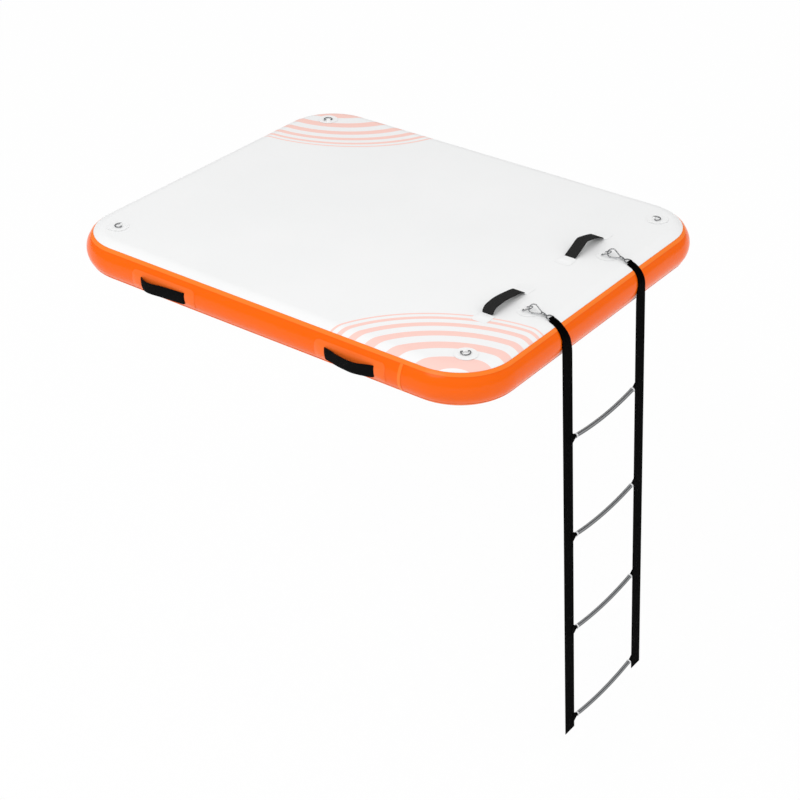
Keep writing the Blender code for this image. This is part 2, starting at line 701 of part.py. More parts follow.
def build_hook(number, side):
    y = side * HOOK_Y
    turned = Matrix.Rotation(math.pi, 4, "Z") @ Matrix.Rotation(-TILT, 4, "Y")
    frame = Matrix.Translation((EYE_X, y, EYE_Z)) @ turned
    lift = empty(f"eye_{number}_pivot", frame)
    loop = tube_mesh(
        "eye",
        ring_points(EYE_INNER + 2 * EYE_WIRE, EYE_ARM + EYE_INNER / 2 + EYE_WIRE, EYE_CORNER),
        EYE_WIRE,
        closed=True,
    )
    eye = part(f"swivel_eye_{number}", loop, "steel", lift, 60)
    neck = EYE_ARM + EYE_INNER / 2 + EYE_WIRE
    shank = cutter(f"shank_{number}", cylinder(SHANK_R, (neck, 0, 0), (BORE_END - GAP, 0, 0), 16), lift)
    collar_start = neck + EYE_WIRE
    collar = cutter(
        f"collar_{number}",
        cylinder(EYE_COLLAR_R, (collar_start, 0, 0), (BLOCK_START - GAP, 0, 0), 16),
        lift,
    )
    boolean(eye, shank, "UNION")
    boolean(eye, collar, "UNION")

    spin = math.pi * number - math.radians(HOOK_ROLL)
    roll = empty(f"hook_{number}_roll", Matrix.Rotation(spin, 4, "X"), lift)
    block = cylinder(BLOCK_R, (BLOCK_START, 0, 0), (BLOCK_END, 0, 0), 20)
    rims = [e for e in block.edges if len({round(v.co.x, 6) for v in e.verts}) == 1]
    bmesh.ops.bevel(block, geom=rims, offset=PIN_R, segments=2, affect="EDGES", profile=0.5)
    body = part(f"hook_body_{number}", block, "steel", roll, 60)
    wire = cutter(f"hook_wire_{number}", tube_mesh("hook", hook_wire(), HOOK_WIRE), roll)
    bore = cutter(
        f"hook_bore_{number}", cylinder(BORE_R, (BLOCK_START - BORE_R, 0, 0), (BORE_END, 0, 0), 16), roll
    )
    slot = cutter(
        f"hook_slot_{number}",
        box((SLOT_START, 0, -SLOT_HALF), (BLOCK_END + BLOCK_R, 2 * BLOCK_R, SLOT_HALF)),
        roll,
    )
    ends = [(GATE_PIVOT, GATE_OFFSET, side * 2 * BLOCK_R) for side in (-1, 1)]
    pin_hole = cutter(f"hook_pin_hole_{number}", cylinder(PIN_HOLE_R, *ends, 12), roll)
    boolean(body, wire, "UNION")
    for helper in (bore, slot, pin_hole):
        boolean(body, helper, "DIFFERENCE")

    pivot = empty(f"gate_{number}_pivot", Matrix.Translation((GATE_PIVOT, GATE_OFFSET, 0)), roll)
    reach = (GATE_TIP - GATE_PIVOT, GATE_TIP_OFFSET - GATE_OFFSET, 0)
    rod = tube_mesh("gate", [(0, 0, 0), tuple(c / 2 for c in reach), reach], GATE_WIRE, sides=3)
    gate = part(f"hook_gate_{number}", rod, "steel", pivot, 60)
    barrel = cylinder(GATE_WIRE, (0, 0, -GATE_WIRE), (0, 0, GATE_WIRE), 16)
    knuckle = cutter(f"gate_knuckle_{number}", barrel, pivot)
    rod = cylinder(PIN_R, (0, 0, -PIN_LONG / 2), (0, 0, PIN_LONG / 2), 12)
    pin = cutter(f"gate_pin_{number}", rod, pivot)
    boolean(gate, knuckle, "UNION")
    boolean(gate, pin, "UNION")


def top_strap_path():
    """Centre line (x, z) of the webbing: tail, round the eye's bar, over the rail to its outermost line."""
    loop_r = EYE_WIRE + GAP + STRAP / 2
    layer = STRAP + GAP
    lay_r = RAIL + GAP + STRAP / 2
    points = []
    slope_start = (EYE_X - FLAT_X) / lay_r

    def over_rail(angle, height):
        return FLAT_X + (lay_r + height) * math.sin(angle), MID + (lay_r + height) * math.cos(angle)

    tail = STRAP_TAIL / lay_r
    for tail_share in (1, 0.7, 0.4):
        points.append(over_rail(slope_start + tail * tail_share, layer))
    for step in range(8):
        angle = math.pi * (1 / 3 + 7 / 6 * step / 8)
        points.append((EYE_X + loop_r * math.cos(angle), EYE_Z + loop_r * math.sin(angle)))
    for step in range(0, 13):
        angle = slope_start + (math.pi / 2 - slope_start) * step / 12
        points.append(over_rail(angle, 0))
    return points


def strap_share(x):
    """0 where the strap is gathered in the eye, 1 once it hangs at its full width."""
    share = min(max((x - EYE_X) / GATHER_LONG, 0), 1)
    return share * share * (3 - 2 * share)


def build_top_strap(number, side):
    bm = bmesh.new()
    rows = []
    for x, z in top_strap_path():
        share = strap_share(x)
        y = side * (LADDER_Y + HOOK_OUT * (1 - share))
        half = (STRAP_GATHERED + (STRAP_WIDE - STRAP_GATHERED) * share) / 2
        rows.append([bm.verts.new((x, y + k * half, z)) for k in (-1, 0, 1)])
    for one, two in zip(rows, rows[1:]):
        for k in range(2):
            bm.faces.new((one[k], two[k], two[k + 1], one[k + 1]))
    solidify(part(f"top_strap_{number}", bm, "webbing", smooth=60), STRAP, 0)


STRAP_OUT = FLAT_X + RAIL + GAP + STRAP
RUNG_DROPS = [RUNG_FIRST + RUNG_PITCH * k for k in range(RUNG_COUNT)]
FOLDS = [0] + [drop + FOLD_BELOW for drop in RUNG_DROPS[:-1]] + [RUNG_DROPS[-1] + STRAP_END]
INNER = LADDER_Y - STRAP_WIDE / 2
RUNG_HALF = INNER - TONGUE_SHOW

hang = Matrix.Rotation(-math.radians(LADDER_TILT), 4, "Y")
ladder = empty("ladder_swing", Matrix.Translation((STRAP_OUT, 0, MID)) @ hang)


def rung_drop(y):
    """How far the rung's bow hangs below its ends at this y."""
    return RUNG_SAG * (1 - (y / RUNG_HALF) ** 2)


def build_strap(section, number, side, pivot):
    """The webbing of one section: a flat strip with the tongue that the rung's end slides over."""
    top, bottom = FOLDS[section - 1] + GAP / 2, FOLDS[section] - GAP / 2
    if section == RUNG_COUNT:
        bottom = FOLDS[section]
    axis = RUNG_DROPS[section - 1]
    outer = LADDER_Y + STRAP_WIDE / 2
    outline = [(INNER, top), (outer, top), (outer, bottom), (INNER, bottom)]
    mouth = RUNG_HALF + GAP + COLLAR_R * 2 * RUNG_SAG / RUNG_HALF
    stops = [(INNER, TONGUE_BASE), (mouth, TONGUE_NECK), (mouth, TONGUE_TIP), (RUNG_HALF - TONGUE_IN, TONGUE_TIP)]
    below = [(y, axis + rung_drop(y) + wide / 2) for y, wide in stops]
    above = [(y, axis + rung_drop(y) - wide / 2) for y, wide in reversed(stops)]
    outline += below + above
    curve = bpy.data.curves.new("strap", "CURVE")
    curve.dimensions = "2D"
    curve.fill_mode = "BOTH"
    curve.extrude = STRAP / 2
    spline = curve.splines.new("POLY")
    spline.points.add(len(outline) - 1)
    for spot, (y, drop) in zip(spline.points, outline):
        spot.co = (side * y, -drop, 0, 1)
    spline.use_cyclic_u = True
    guide = bpy.data.objects.new("strap_guide", curve)
    CUTTERS.objects.link(guide)
    graph = bpy.context.evaluated_depsgraph_get()
    mesh = bpy.data.meshes.new_from_object(guide.evaluated_get(graph))
    bpy.data.objects.remove(guide)
    bm = bmesh.new()
    bm.from_mesh(mesh)
    bmesh.ops.remove_doubles(bm, verts=bm.verts, dist=MERGE)
    stand = Matrix(((0, 0, 1, -STRAP / 2), (1, 0, 0, 0), (0, 1, 0, 0), (0, 0, 0, 1)))
    bmesh.ops.transform(bm, matrix=stand, verts=bm.verts)
    bmesh.ops.transform(bm, matrix=pivot.matrix_basis.inverted(), verts=bm.verts)
    part(f"strap_{number}_{section}", bm, "webbing", pivot)


def build_rung(section, pivot):
    points, radii = [], []
    stops = [-RUNG_HALF, -RUNG_HALF + COLLAR_LONG, -RUNG_HALF + COLLAR_LONG + GAP]
    run = RUNG_HALF - COLLAR_LONG - GAP
    stops += [-run + 2 * run * k / RUNG_STEPS for k in range(1, RUNG_STEPS)]
    stops += [-y for y in reversed(stops[:3])]
    for y in stops:
        points.append((-STRAP / 2, y, -RUNG_DROPS[section - 1] - rung_drop(y)))
        radii.append(COLLAR_R if abs(y) > RUNG_HALF - COLLAR_LONG - GAP / 2 else RUNG_R)
    bm = tube_mesh("rung", points, RUNG_R, radii=radii, sides=RUNG_SIDES // 2 - 2, caps=False)
    bmesh.ops.transform(bm, matrix=pivot.matrix_basis.inverted(), verts=bm.verts)
    bmesh.ops.recalc_face_normals(bm, faces=bm.faces)
    bm.normal_update()
    face = max(bm.faces, key=lambda item: item.calc_center_median().x)
    if face.normal.x < 0:
        bmesh.ops.reverse_faces(bm, faces=bm.faces)
    mesh = bpy.data.meshes.new(f"rung_{section}")
    bm.to_mesh(mesh)
    bm.free()
    mesh.shade_smooth()
    mesh.set_sharp_from_angle(angle=math.radians(50))
    solidify(add_object(f"rung_{section}", mesh, "rung", pivot), RUNG_WALL, -1)


# A section folds about the face of the webbing that opens, so the fold lines change sides down the ladder
for section in range(1, RUNG_COUNT + 1):
    face = 0 if section % 2 == 0 or section == 1 else -STRAP
    line = Matrix.Translation((face, 0, -FOLDS[section - 1]))
    pivot = empty(f"fold_{section}", line, ladder)
    for number, side in ((1, -1), (2, 1)):
        build_strap(section, number, side, pivot)
    build_rung(section, pivot)

for number, side in ((1, -1), (2, 1)):
    build_ring("ladder", number, LADDER_RING_X, side * HOOK_Y, 0, RING_TILT)
    build_hook(number, side)
    build_top_strap(number, side)


# Inflation valve on the other end: built along +X from the wall's outermost line, then turned to face -X

valve = empty(
    "valve", Matrix.Translation((-FLAT_X - WALL_R, VALVE_Y, MID)) @ Matrix.Rotation(math.pi, 4, "Z")
)


def wall_drum(name, radius):
    """The rail as a drum along the valve's Y, of this radius."""
    reach = 2 * VALVE_FLANGE_R
    return cutter(name, cylinder(radius, (-WALL_R, -reach, 0), (-WALL_R, reach, 0), 60), valve)


HOLE_R = VALVE_BODY_R + GAP
valve_hole = cylinder(HOLE_R, (-WALL_R / 2, 0, 0), (WALL_R / 2, 0, 0))
boolean(side_wall, cutter("valve_hole", valve_hole, valve), "DIFFERENCE")

DRUM_STEP = math.radians(RAIL_STEP / 2)
flange = cylinder(VALVE_FLANGE_R, (-WALL_R / 2, 0, 0), (GAP + VALVE_FLANGE, 0, 0), 28)
housing = part("valve_housing", flange, "valve", valve, 40)
boolean(housing, wall_drum("valve_saddle", WALL_R + GAP), "DIFFERENCE")
body_tube = cylinder(VALVE_BODY_R, (-VALVE_DEEP, 0, 0), (GAP, 0, 0))
boolean(housing, cutter("valve_body", body_tube, valve), "UNION")
throat = cylinder(VALVE_BORE_R, (-VALVE_DEEP - GAP, 0, 0), (WALL_R, 0, 0))
boolean(housing, cutter("valve_throat", throat, valve), "DIFFERENCE")
SPIDER_X = -VALVE_DEEP + SEAT_THICK
spoke = (VALVE_BORE_R + PATCH_SKIN, SPIDER_SPOKE / 2)
for number, (wide, tall) in enumerate((spoke, spoke[::-1])):
    spoke = box((SPIDER_X, -wide, -tall), (SPIDER_X + SPIDER_THICK, wide, tall))
    boolean(housing, cutter(f"valve_spoke_{number}", spoke, valve), "UNION")
hub = cylinder(SPIDER_HUB_R, (SPIDER_X - GAP / 3, 0, 0), (SPIDER_X + SPIDER_THICK + GAP / 3, 0, 0), 16)
boolean(housing, cutter("valve_hub", hub, valve), "UNION")
stem_hole = cylinder(STEM_R + GAP, (-VALVE_DEEP, 0, 0), (0, 0, 0), 12)
boolean(housing, cutter("valve_stem_hole", stem_hole, valve), "DIFFERENCE")

nut = cylinder(VALVE_NUT_R, (-SHEET - GAP - VALVE_NUT, 0, 0), (0, 0, 0), 6)
nut_part = part("valve_nut", nut, "valve", valve, 30)
NUT_DRUM = WALL_R * math.cos(DRUM_STEP) - SHEET - GAP
boolean(nut_part, wall_drum("valve_nut_drum", NUT_DRUM), "INTERSECT")
nut_bore = cylinder(HOLE_R, (-WALL_R, 0, 0), (WALL_R, 0, 0))
boolean(nut_part, cutter("valve_nut_bore", nut_bore, valve), "DIFFERENCE")

SEAT_X = -VALVE_DEEP - GAP
stem = cylinder(STEM_R, (SEAT_X - SEAT_THICK / 2, 0, 0), (SEAT_X + STEM_OUT + KNOB_THICK / 2, 0, 0), 12)
plunger = part("valve_plunger", stem, "valve", valve, 30)
disc = cylinder(SEAT_R, (SEAT_X - SEAT_THICK, 0, 0), (SEAT_X, 0, 0))
boolean(plunger, cutter("plunger_disc", disc, valve), "UNION")
knob = cylinder(KNOB_R, (SEAT_X + STEM_OUT, 0, 0), (SEAT_X + STEM_OUT + KNOB_THICK, 0, 0), 16)
boolean(plunger, cutter("plunger_knob", knob, valve), "UNION")


def spring_points():
    start = SPIDER_X + SPIDER_THICK + 2 * GAP + SPRING_WIRE
    end = SEAT_X + STEM_OUT - GAP - SPRING_WIRE
    steps = 8 * SPRING_TURNS
    points = []
    for step in range(steps + 1):
        angle = 2 * math.pi * step / 8
        points.append(
            (start + (end - start) * step / steps, SPRING_R * math.cos(angle), SPRING_R * math.sin(angle))
        )
    return points


def least_gap(points, wire, apart):
    """The least clear distance between lengths of a wire that are at least apart points from each other."""
    vectors = [Vector(p) for p in points]
    pairs = ((a, b) for i, a in enumerate(vectors) for b in vectors[i + apart :])
    return min((a - b).length for a, b in pairs) - 2 * wire


spring_gap = least_gap(spring_points(), SPRING_WIRE, 6)
print(f"valve_spring: least gap to itself {spring_gap * 1000:.2f} mm")
part("valve_spring", tube_mesh("spring", spring_points(), SPRING_WIRE, sides=1), "steel", valve, 60)

CAP_X = GAP + VALVE_FLANGE + GAP
HINGE_Z = CAP_R + CAP_LUG_OUT
hinge = empty("valve_cap_pivot", Matrix.Translation((CAP_X + CAP_LUG_R, 0, HINGE_Z)), valve)


def cap_place(bm):
    bmesh.ops.translate(bm, verts=bm.verts, vec=(-CAP_X - CAP_LUG_R, 0, -HINGE_Z))
    return bm


cap_disc = cylinder(CAP_R, (CAP_X, 0, 0), (CAP_X + CAP_THICK, 0, 0), 28)
cap_rim = [e for e in cap_disc.edges if all(v.co.x > CAP_X + CAP_THICK / 2 for v in e.verts)]
bmesh.ops.bevel(cap_disc, geom=cap_rim, offset=CAP_SKIRT / 2, segments=2, affect="EDGES", profile=0.5)
cap = part("valve_cap", cap_place(cap_disc), "valve", hinge, 40)
hollow = cylinder(VALVE_BORE_R, (CAP_X - GAP, 0, 0), (CAP_X + CAP_THICK - CAP_SKIRT, 0, 0))
boolean(cap, cutter("cap_hollow", cap_place(hollow), hinge), "DIFFERENCE")
arm = box(
    (CAP_X, -CAP_LUG_WIDE / 2, CAP_R - CAP_SKIRT), (CAP_X + CAP_LUG_R, CAP_LUG_WIDE / 2, HINGE_Z)
)
boolean(cap, cutter("cap_arm", cap_place(arm), hinge), "UNION")
AXLE_X = CAP_X + CAP_LUG_R
lug_line = [(AXLE_X, sign * CAP_LUG_WIDE / 2, HINGE_Z) for sign in (-1, 1)]
boolean(cap, cutter("cap_lug", cap_place(cylinder(CAP_LUG_R, *lug_line, 16)), hinge), "UNION")
EAR_OUT = CAP_LUG_WIDE / 2 + GAP + EAR_WIDE
pin_line = [(AXLE_X, sign * EAR_OUT, HINGE_Z) for sign in (-1, 1)]
boolean(cap, cutter("cap_pin", cap_place(cylinder(EAR_PIN_R, *pin_line, 12)), hinge), "UNION")
for number, sign in enumerate((-1, 1)):
    ys = sorted((sign * EAR_OUT, sign * (EAR_OUT - EAR_WIDE)))
    ear = box((GAP, ys[0], HINGE_Z - CAP_LUG_R), (AXLE_X + CAP_LUG_R, ys[1], HINGE_Z + CAP_LUG_R))
    boolean(housing, cutter(f"valve_ear_{number}", ear, valve), "UNION")
ear_hole = cylinder(EAR_PIN_R + GAP, *[(x, 2 * y, z) for x, y, z in pin_line], 12)
boolean(housing, cutter("valve_ear_hole", ear_hole, valve), "DIFFERENCE")
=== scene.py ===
# %% [markdown]
# # An inflatable dock platform with a hanging ladder
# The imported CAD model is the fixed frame: every piece below takes its place from it, and most of its
# nodes are then replaced by finer pieces. The lesson goes from the camera to the skins of the pad,
# then to webbing, rings, hooks, ladder and valve.

# %% Load the frame
from math import asin, atan, atan2, cos, degrees, exp, hypot, pi, radians, sin, sqrt, tau

import bmesh
import bpy
from mathutils import Matrix, Vector


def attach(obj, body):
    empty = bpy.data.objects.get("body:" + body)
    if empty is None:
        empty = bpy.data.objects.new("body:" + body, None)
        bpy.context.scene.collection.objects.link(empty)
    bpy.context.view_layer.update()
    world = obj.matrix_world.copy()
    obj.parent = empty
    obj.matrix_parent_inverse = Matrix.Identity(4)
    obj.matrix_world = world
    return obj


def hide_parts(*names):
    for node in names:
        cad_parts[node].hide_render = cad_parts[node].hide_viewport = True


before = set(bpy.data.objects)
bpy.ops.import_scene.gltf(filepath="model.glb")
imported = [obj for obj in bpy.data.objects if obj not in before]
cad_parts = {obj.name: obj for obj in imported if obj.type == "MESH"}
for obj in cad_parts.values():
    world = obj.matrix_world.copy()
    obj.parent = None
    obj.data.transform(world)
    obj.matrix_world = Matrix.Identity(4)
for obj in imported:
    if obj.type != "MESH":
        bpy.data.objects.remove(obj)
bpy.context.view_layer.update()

# %% [markdown]
# ## The sizes that every piece shares
# A drop-stitch pad is two flat sheets held at one distance by thousands of yarns, so the deck stays
# flat and only the rail round it is curved. The numbers repeat those of the CAD source, in metres.

# %% Sizes of the pad
LENGTH, WIDTH, THICK = 1.83, 1.52, 0.15
CORNER_RADIUS = 0.23
SHEET, GAP = 0.0012, 0.0003
RAIL = MID = THICK / 2
FLAT_X = LENGTH / 2 - RAIL
FLAT_Y = WIDTH / 2 - RAIL
FLAT_R = CORNER_RADIUS - RAIL
WALL_R = RAIL - SHEET - GAP
SAME = 0.00001  # points closer than this are one point
SIDES = ((1, -1), (2, 1))  # number of each side's pieces, and the sign of their Y
print("flat part of the deck", 2 * FLAT_X, "x", 2 * FLAT_Y)


# %% Helpers for every cell
def new_object(name, data):
    """An object with this data, linked to the scene."""
    made = bpy.data.objects.new(name, data)
    bpy.context.scene.collection.objects.link(made)
    return made


def mesh_from(name, bm):
    """A mesh made from a bmesh, which is freed."""
    mesh = bpy.data.meshes.new(name)
    bm.to_mesh(mesh)
    bm.free()
    return mesh


def with_settings(item, settings):
    """The item, once its settings are made."""
    for name, value in settings.items():
        setattr(item, name, value)
    return item


def smooth_share(value):
    """0 up to 0, 1 from 1 on, and a soft S between them."""
    share = min(max(value, 0), 1)
    return share * share * (3 - 2 * share)


def weld(bm):
    """Makes one point of all that lie in one place."""
    bmesh.ops.remove_doubles(bm, verts=bm.verts, dist=SAME)


def move(bm, matrix):
    """Carries a whole bmesh by a matrix."""
    bmesh.ops.transform(bm, matrix=matrix, verts=bm.verts)


def face_out(bm):
    """Turns all faces outward."""
    bmesh.ops.recalc_face_normals(bm, faces=bm.faces)


# %% [markdown]
# ## Camera
# The view is that of a long lens from above one corner. Its place was found by fitting the pad's
# outline, so the camera is set from numbers and the picture needs no shift.

# %% Camera
LENS_PIXELS, FRAME_PIXELS, SENSOR_WIDE, CLIP_END = 1853, 800, 36, 200
CAMERA_SPOT = (3.642, -4.816, 3.122)
LOOK_DOWN, LOOK_ROUND = 31.67, 36.71
lens = LENS_PIXELS / FRAME_PIXELS * SENSOR_WIDE
glass = {"sensor_width": SENSOR_WIDE, "lens": lens, "clip_end": CLIP_END}
camera = new_object("camera", with_settings(bpy.data.cameras.new("camera"), glass))
camera.location = CAMERA_SPOT
camera.rotation_euler = (radians(90 - LOOK_DOWN), 0, radians(LOOK_ROUND))
bpy.context.scene.camera = camera
bpy.context.scene.view_settings.view_transform = "Standard"
print("lens", round(lens, 2), "mm")

# %% [markdown]
# ## Materials: a few small tools
# Colours are written as the hex values that a screen shows, and one function turns them linear.
# Another adds a node with its settings and links, and the rest are built on it, so that each material
# below reads as a short list of what the surface is made of.


# %% Colour and node helpers
def linear(hex_colour):
    """A hex colour as the screen shows it, as linear RGBA."""
    parts = [int(hex_colour[k : k + 2], 16) / 255 for k in (1, 3, 5)]
    return (*[c / 12.92 if c <= 0.04045 else ((c + 0.055) / 1.055) ** 2.4 for c in parts], 1.0)


def add_node(tree, kind, inputs=(), **settings):
    """Adds a node. inputs pairs a socket with a value or with another node's output."""
    node = with_settings(tree.nodes.new(f"ShaderNode{kind}"), settings)
    for socket, value in dict(inputs).items():
        if isinstance(value, bpy.types.NodeSocket):
            tree.links.new(value, node.inputs[socket])
        else:
            node.inputs[socket].default_value = value
    return node


def new_material(name, **sockets):
    """A material with a Principled shader, its tree and the shader node."""
    material = bpy.data.materials.new(name)
    material.use_nodes = True
    tree = material.node_tree
    shader = tree.nodes["Principled BSDF"]
    for socket, value in sockets.items():
        shader.inputs[socket.replace("_", " ")].default_value = value
    return material, tree, shader


def object_place(tree):
    """The place on the piece, in metres."""
    return add_node(tree, "TexCoord").outputs["Object"]


def noise(tree, place, scale, detail):
    """A soft noise between 0 and 1."""
    inputs = {"Vector": place, "Scale": scale, "Detail": detail}
    return add_node(tree, "TexNoise", inputs).outputs["Fac"]


def wave_bump(tree, place, axis, pitch, strength, distance, under=None):
    """Ribs across an axis, one every pitch metres, over the bump node under. Returns bump and wave."""
    bands_at_one = tau / 20  # how far apart the bands are when the scale is 1
    inputs = {"Vector": place, "Scale": bands_at_one / pitch, "Distortion": 0.0}
    wave = add_node(tree, "TexWave", inputs, bands_direction=axis).outputs["Fac"]
    inputs = {"Height": wave, "Strength": strength, "Distance": distance}
    if under is not None:
        inputs["Normal"] = under.outputs["Normal"]
    return add_node(tree, "Bump", inputs), wave


def dress(tree, shader, colour, relief):
    """Gives the shader its colour and the relief of a bump node."""
    tree.links.new(colour, shader.inputs["Base Color"])
    tree.links.new(relief.outputs["Normal"], shader.inputs["Normal"])


# %% [markdown]
# ## Coated fabric of the deck
# The deck is PVC-coated polyester, printed with rings of pale salmon stripes in two opposite corners.
# Each stripe is a band between two values of one field, a flattened circle with the exponent 1.75,
# so a colour ramp with constant steps draws all six with crisp edges. The satin coating shows a ghost
# of its woven base cloth, whose threads are 1 mm apart in fact and drawn at 3 mm.

# %% Deck material
WEAVE = 0.003
STRIPE_CENTRE = (0.85, -0.782)
STRIPE_FLATTEN = 0.82
STRIPE_POWER = 1.75
STRIPE_REACH = 0.6
STRIPES = [
    (0.136, 0.209), (0.272, 0.3215), (0.370, 0.4065), (0.445, 0.472), (0.500, 0.519), (0.538, 0.548)
]


def math_node(tree, operation, *values):
    """One Math node on numbers or outputs."""
    return add_node(tree, "Math", dict(enumerate(values)), operation=operation).outputs[0]


def stripe_field(tree, position, turn):
    """Distance from the stripes' centre in one corner (turn 1) or in the opposite one (turn -1)."""
    total = 0.0
    for axis, centre, flatten in zip("XY", STRIPE_CENTRE, (1.0, STRIPE_FLATTEN)):
        away = math_node(tree, "SUBTRACT", position.outputs[axis], turn * centre)
        share = math_node(tree, "DIVIDE", math_node(tree, "ABSOLUTE", away), flatten)
        power = math_node(tree, "POWER", share, STRIPE_POWER)
        total = math_node(tree, "ADD", power, total)
    return math_node(tree, "POWER", total, 1 / STRIPE_POWER)


def weave_bump(tree, place, strength, distance):
    """Two crossing sets of ribs: the woven base cloth under a coating."""
    first, _ = wave_bump(tree, place, "X", WEAVE, strength, distance)
    return wave_bump(tree, place, "Y", WEAVE, strength, distance, first)[0]


def stripe_mask(tree, position):
    """1 on the printed stripes, 0 between them."""
    near = stripe_field(tree, position, 1)
    far = stripe_field(tree, position, -1)
    field = math_node(tree, "DIVIDE", math_node(tree, "MINIMUM", near, far), STRIPE_REACH)
    ramp = add_node(tree, "ValToRGB", {"Fac": field})
    ramp.color_ramp.interpolation = "CONSTANT"
    ramp.color_ramp.elements.remove(ramp.color_ramp.elements[1])
    ramp.color_ramp.elements[0].color = (0, 0, 0, 1)
    for low, high in STRIPES:
        ramp.color_ramp.elements.new(low / STRIPE_REACH).color = (1, 1, 1, 1)
        ramp.color_ramp.elements.new(high / STRIPE_REACH).color = (0, 0, 0, 1)
    return ramp.outputs["Color"]


def mixed(tree, factor, one, two):
    """The colour between two, each a hex colour or another node's output."""
    sockets = {"Factor": factor}
    for socket, colour in ((6, one), (7, two)):
        sockets[socket] = linear(colour) if isinstance(colour, str) else colour
    return add_node(tree, "Mix", sockets, data_type="RGBA").outputs[2]


def white_pvc(name, stripes):
    """The coated cloth of deck and underside, with the printed stripes or without them."""
    material, tree, shader = new_material(name, Roughness=0.42, IOR=1.52)
    place = object_place(tree)
    colour = mixed(tree, noise(tree, place, scale=2.5, detail=3.0), "#EDEEEE", "#F3F3F3")
    if stripes:
        position = add_node(tree, "SeparateXYZ", {"Vector": place})
        colour = mixed(tree, stripe_mask(tree, position), colour, "#FACEC4")
    dress(tree, shader, colour, weave_bump(tree, place, strength=0.10, distance=0.0004))
    return material


deck_pvc = white_pvc("pvc_coated_polyester_white_printed", True)
plain_pvc = white_pvc("pvc_coated_polyester_white", False)
print("stripes", len(STRIPES), "in each of two corners")

# %% [markdown]
# ## Orange PVC of the rail
# The rail is the same cloth with a glossy orange coating. Air pressure draws it smooth, so its look is
# a clean highlight, broken only a little by the tension of the sheet, which a slow noise gives.


# %% Rail and tape materials
def orange_pvc(name, deep, light, roughness):
    """The glossy coating of the rail, between two oranges."""
    material, tree, shader = new_material(name, Roughness=roughness, Specular_IOR_Level=0.22)
    place = object_place(tree)
    slow = noise(tree, place, scale=6.0, detail=2.0)
    pull = add_node(tree, "Bump", {"Height": slow, "Strength": 0.25, "Distance": 0.004})
    cloth, _ = wave_bump(tree, place, "Z", WEAVE, strength=0.10, distance=0.0003, under=pull)
    dress(tree, shader, mixed(tree, slow, deep, light), cloth)
    return material


rail_pvc = orange_pvc("pvc_coated_polyester_orange", "#F56200", "#FB6800", 0.20)
patch_pvc = orange_pvc("pvc_patch_orange", "#F86C22", "#FE742A", 0.24)
tape_pvc = orange_pvc("pvc_tape_orange", "#F97A22", "#FE822C", 0.26)

# %% [markdown]
# ## Black webbing
# Handles and ladder are flat polypropylene webbing. Its weft makes ribs across the band and its warp
# fine cords along it, 1.2 mm apart in fact and drawn at 2.4 mm. The ribs must turn with the band, so
# the pattern reads the band's own UV map, which is laid out in metres before the band is bent.

# %% Webbing materials
THREAD = 0.0024


def webbing(name, valley, crown, sheen):
    """A woven band: valley is the colour between its threads, crown the colour on top of them."""
    material, tree, shader = new_material(name, Roughness=0.8, Specular_IOR_Level=sheen)
    band = add_node(tree, "UVMap", uv_map="band").outputs["UV"]
    ribs, rib_wave = wave_bump(tree, band, "X", THREAD, strength=0.7, distance=0.0006)
    cords, cord_wave = wave_bump(tree, band, "Y", THREAD, strength=0.5, distance=0.0005, under=ribs)
    threads = math_node(tree, "MULTIPLY", rib_wave, cord_wave)
    dress(tree, shader, mixed(tree, threads, valley, crown), cords)
    return material


# The deck's handles face up and get a lighter copy of the webbing as painted light; the rail's handles
# face sideways and get a darker copy as painted shade.
deck_webbing = webbing("polypropylene_webbing_painted_top_light", "#1E1E1E", "#434343", 0.05)
rail_webbing = webbing("polypropylene_webbing_painted_side_shade", "#070707", "#1C1C1C", 0.05)
strap_webbing = webbing("polypropylene_strap_webbing", "#020202", "#060606", 0.03)

# %% [markdown]
# ## Polished stainless steel, fluted tube and moulded plastic
# The hooks and rings are polished stainless steel: nearly all metal, with a low roughness that faint
# polishing marks break up, and a base colour mottled from dark grey to near white as painted
# reflection.
# The rungs are grey tube with a satin skin, painted dark in the flutes as shade and light on the crowns
# as highlight. The valve is moulded nylon, whose fine grain comes from the mould.


# %% Steel, rung, valve and cloth materials
def grain_and_painted_mottle(name, dark, light, size, roughness, bump, **sockets):
    """A surface whose colour and height vary with one fine noise, size metres long: real grain on nylon
    and cloth, and a colour mottle of painted reflection on the steel.
    """
    material, tree, shader = new_material(name, Roughness=roughness, **sockets)
    grain = noise(tree, object_place(tree), scale=1 / size, detail=4.0)
    relief = add_node(tree, "Bump", {"Height": grain, "Strength": bump, "Distance": size / 4})
    dress(tree, shader, mixed(tree, grain, dark, light), relief)
    return material


def fluted_tube(name, valley, crown):
    """Satin tube: painted shade where the piece's flute attribute is 0 and a painted highlight on the
    crowns between.
    """
    material, tree, shader = new_material(name, Roughness=0.3)
    flute = add_node(tree, "Attribute", attribute_name="flute").outputs["Fac"]
    tree.links.new(mixed(tree, flute, valley, crown), shader.inputs["Base Color"])
    return material


# The steel's colour runs from dark grey to near white with the noise: painted reflection contrast over
# the real polishing-mark bump.
steel = grain_and_painted_mottle("stainless_steel_polished_with_painted_reflection", "#6C6E72", "#F0F1F2", 0.003, 0.14, 0.2, Metallic=0.9)
collar_nylon = grain_and_painted_mottle("moulded_nylon_light_grey", "#D6D7D8", "#E6E7E8", 0.002, 0.35, 0.1)
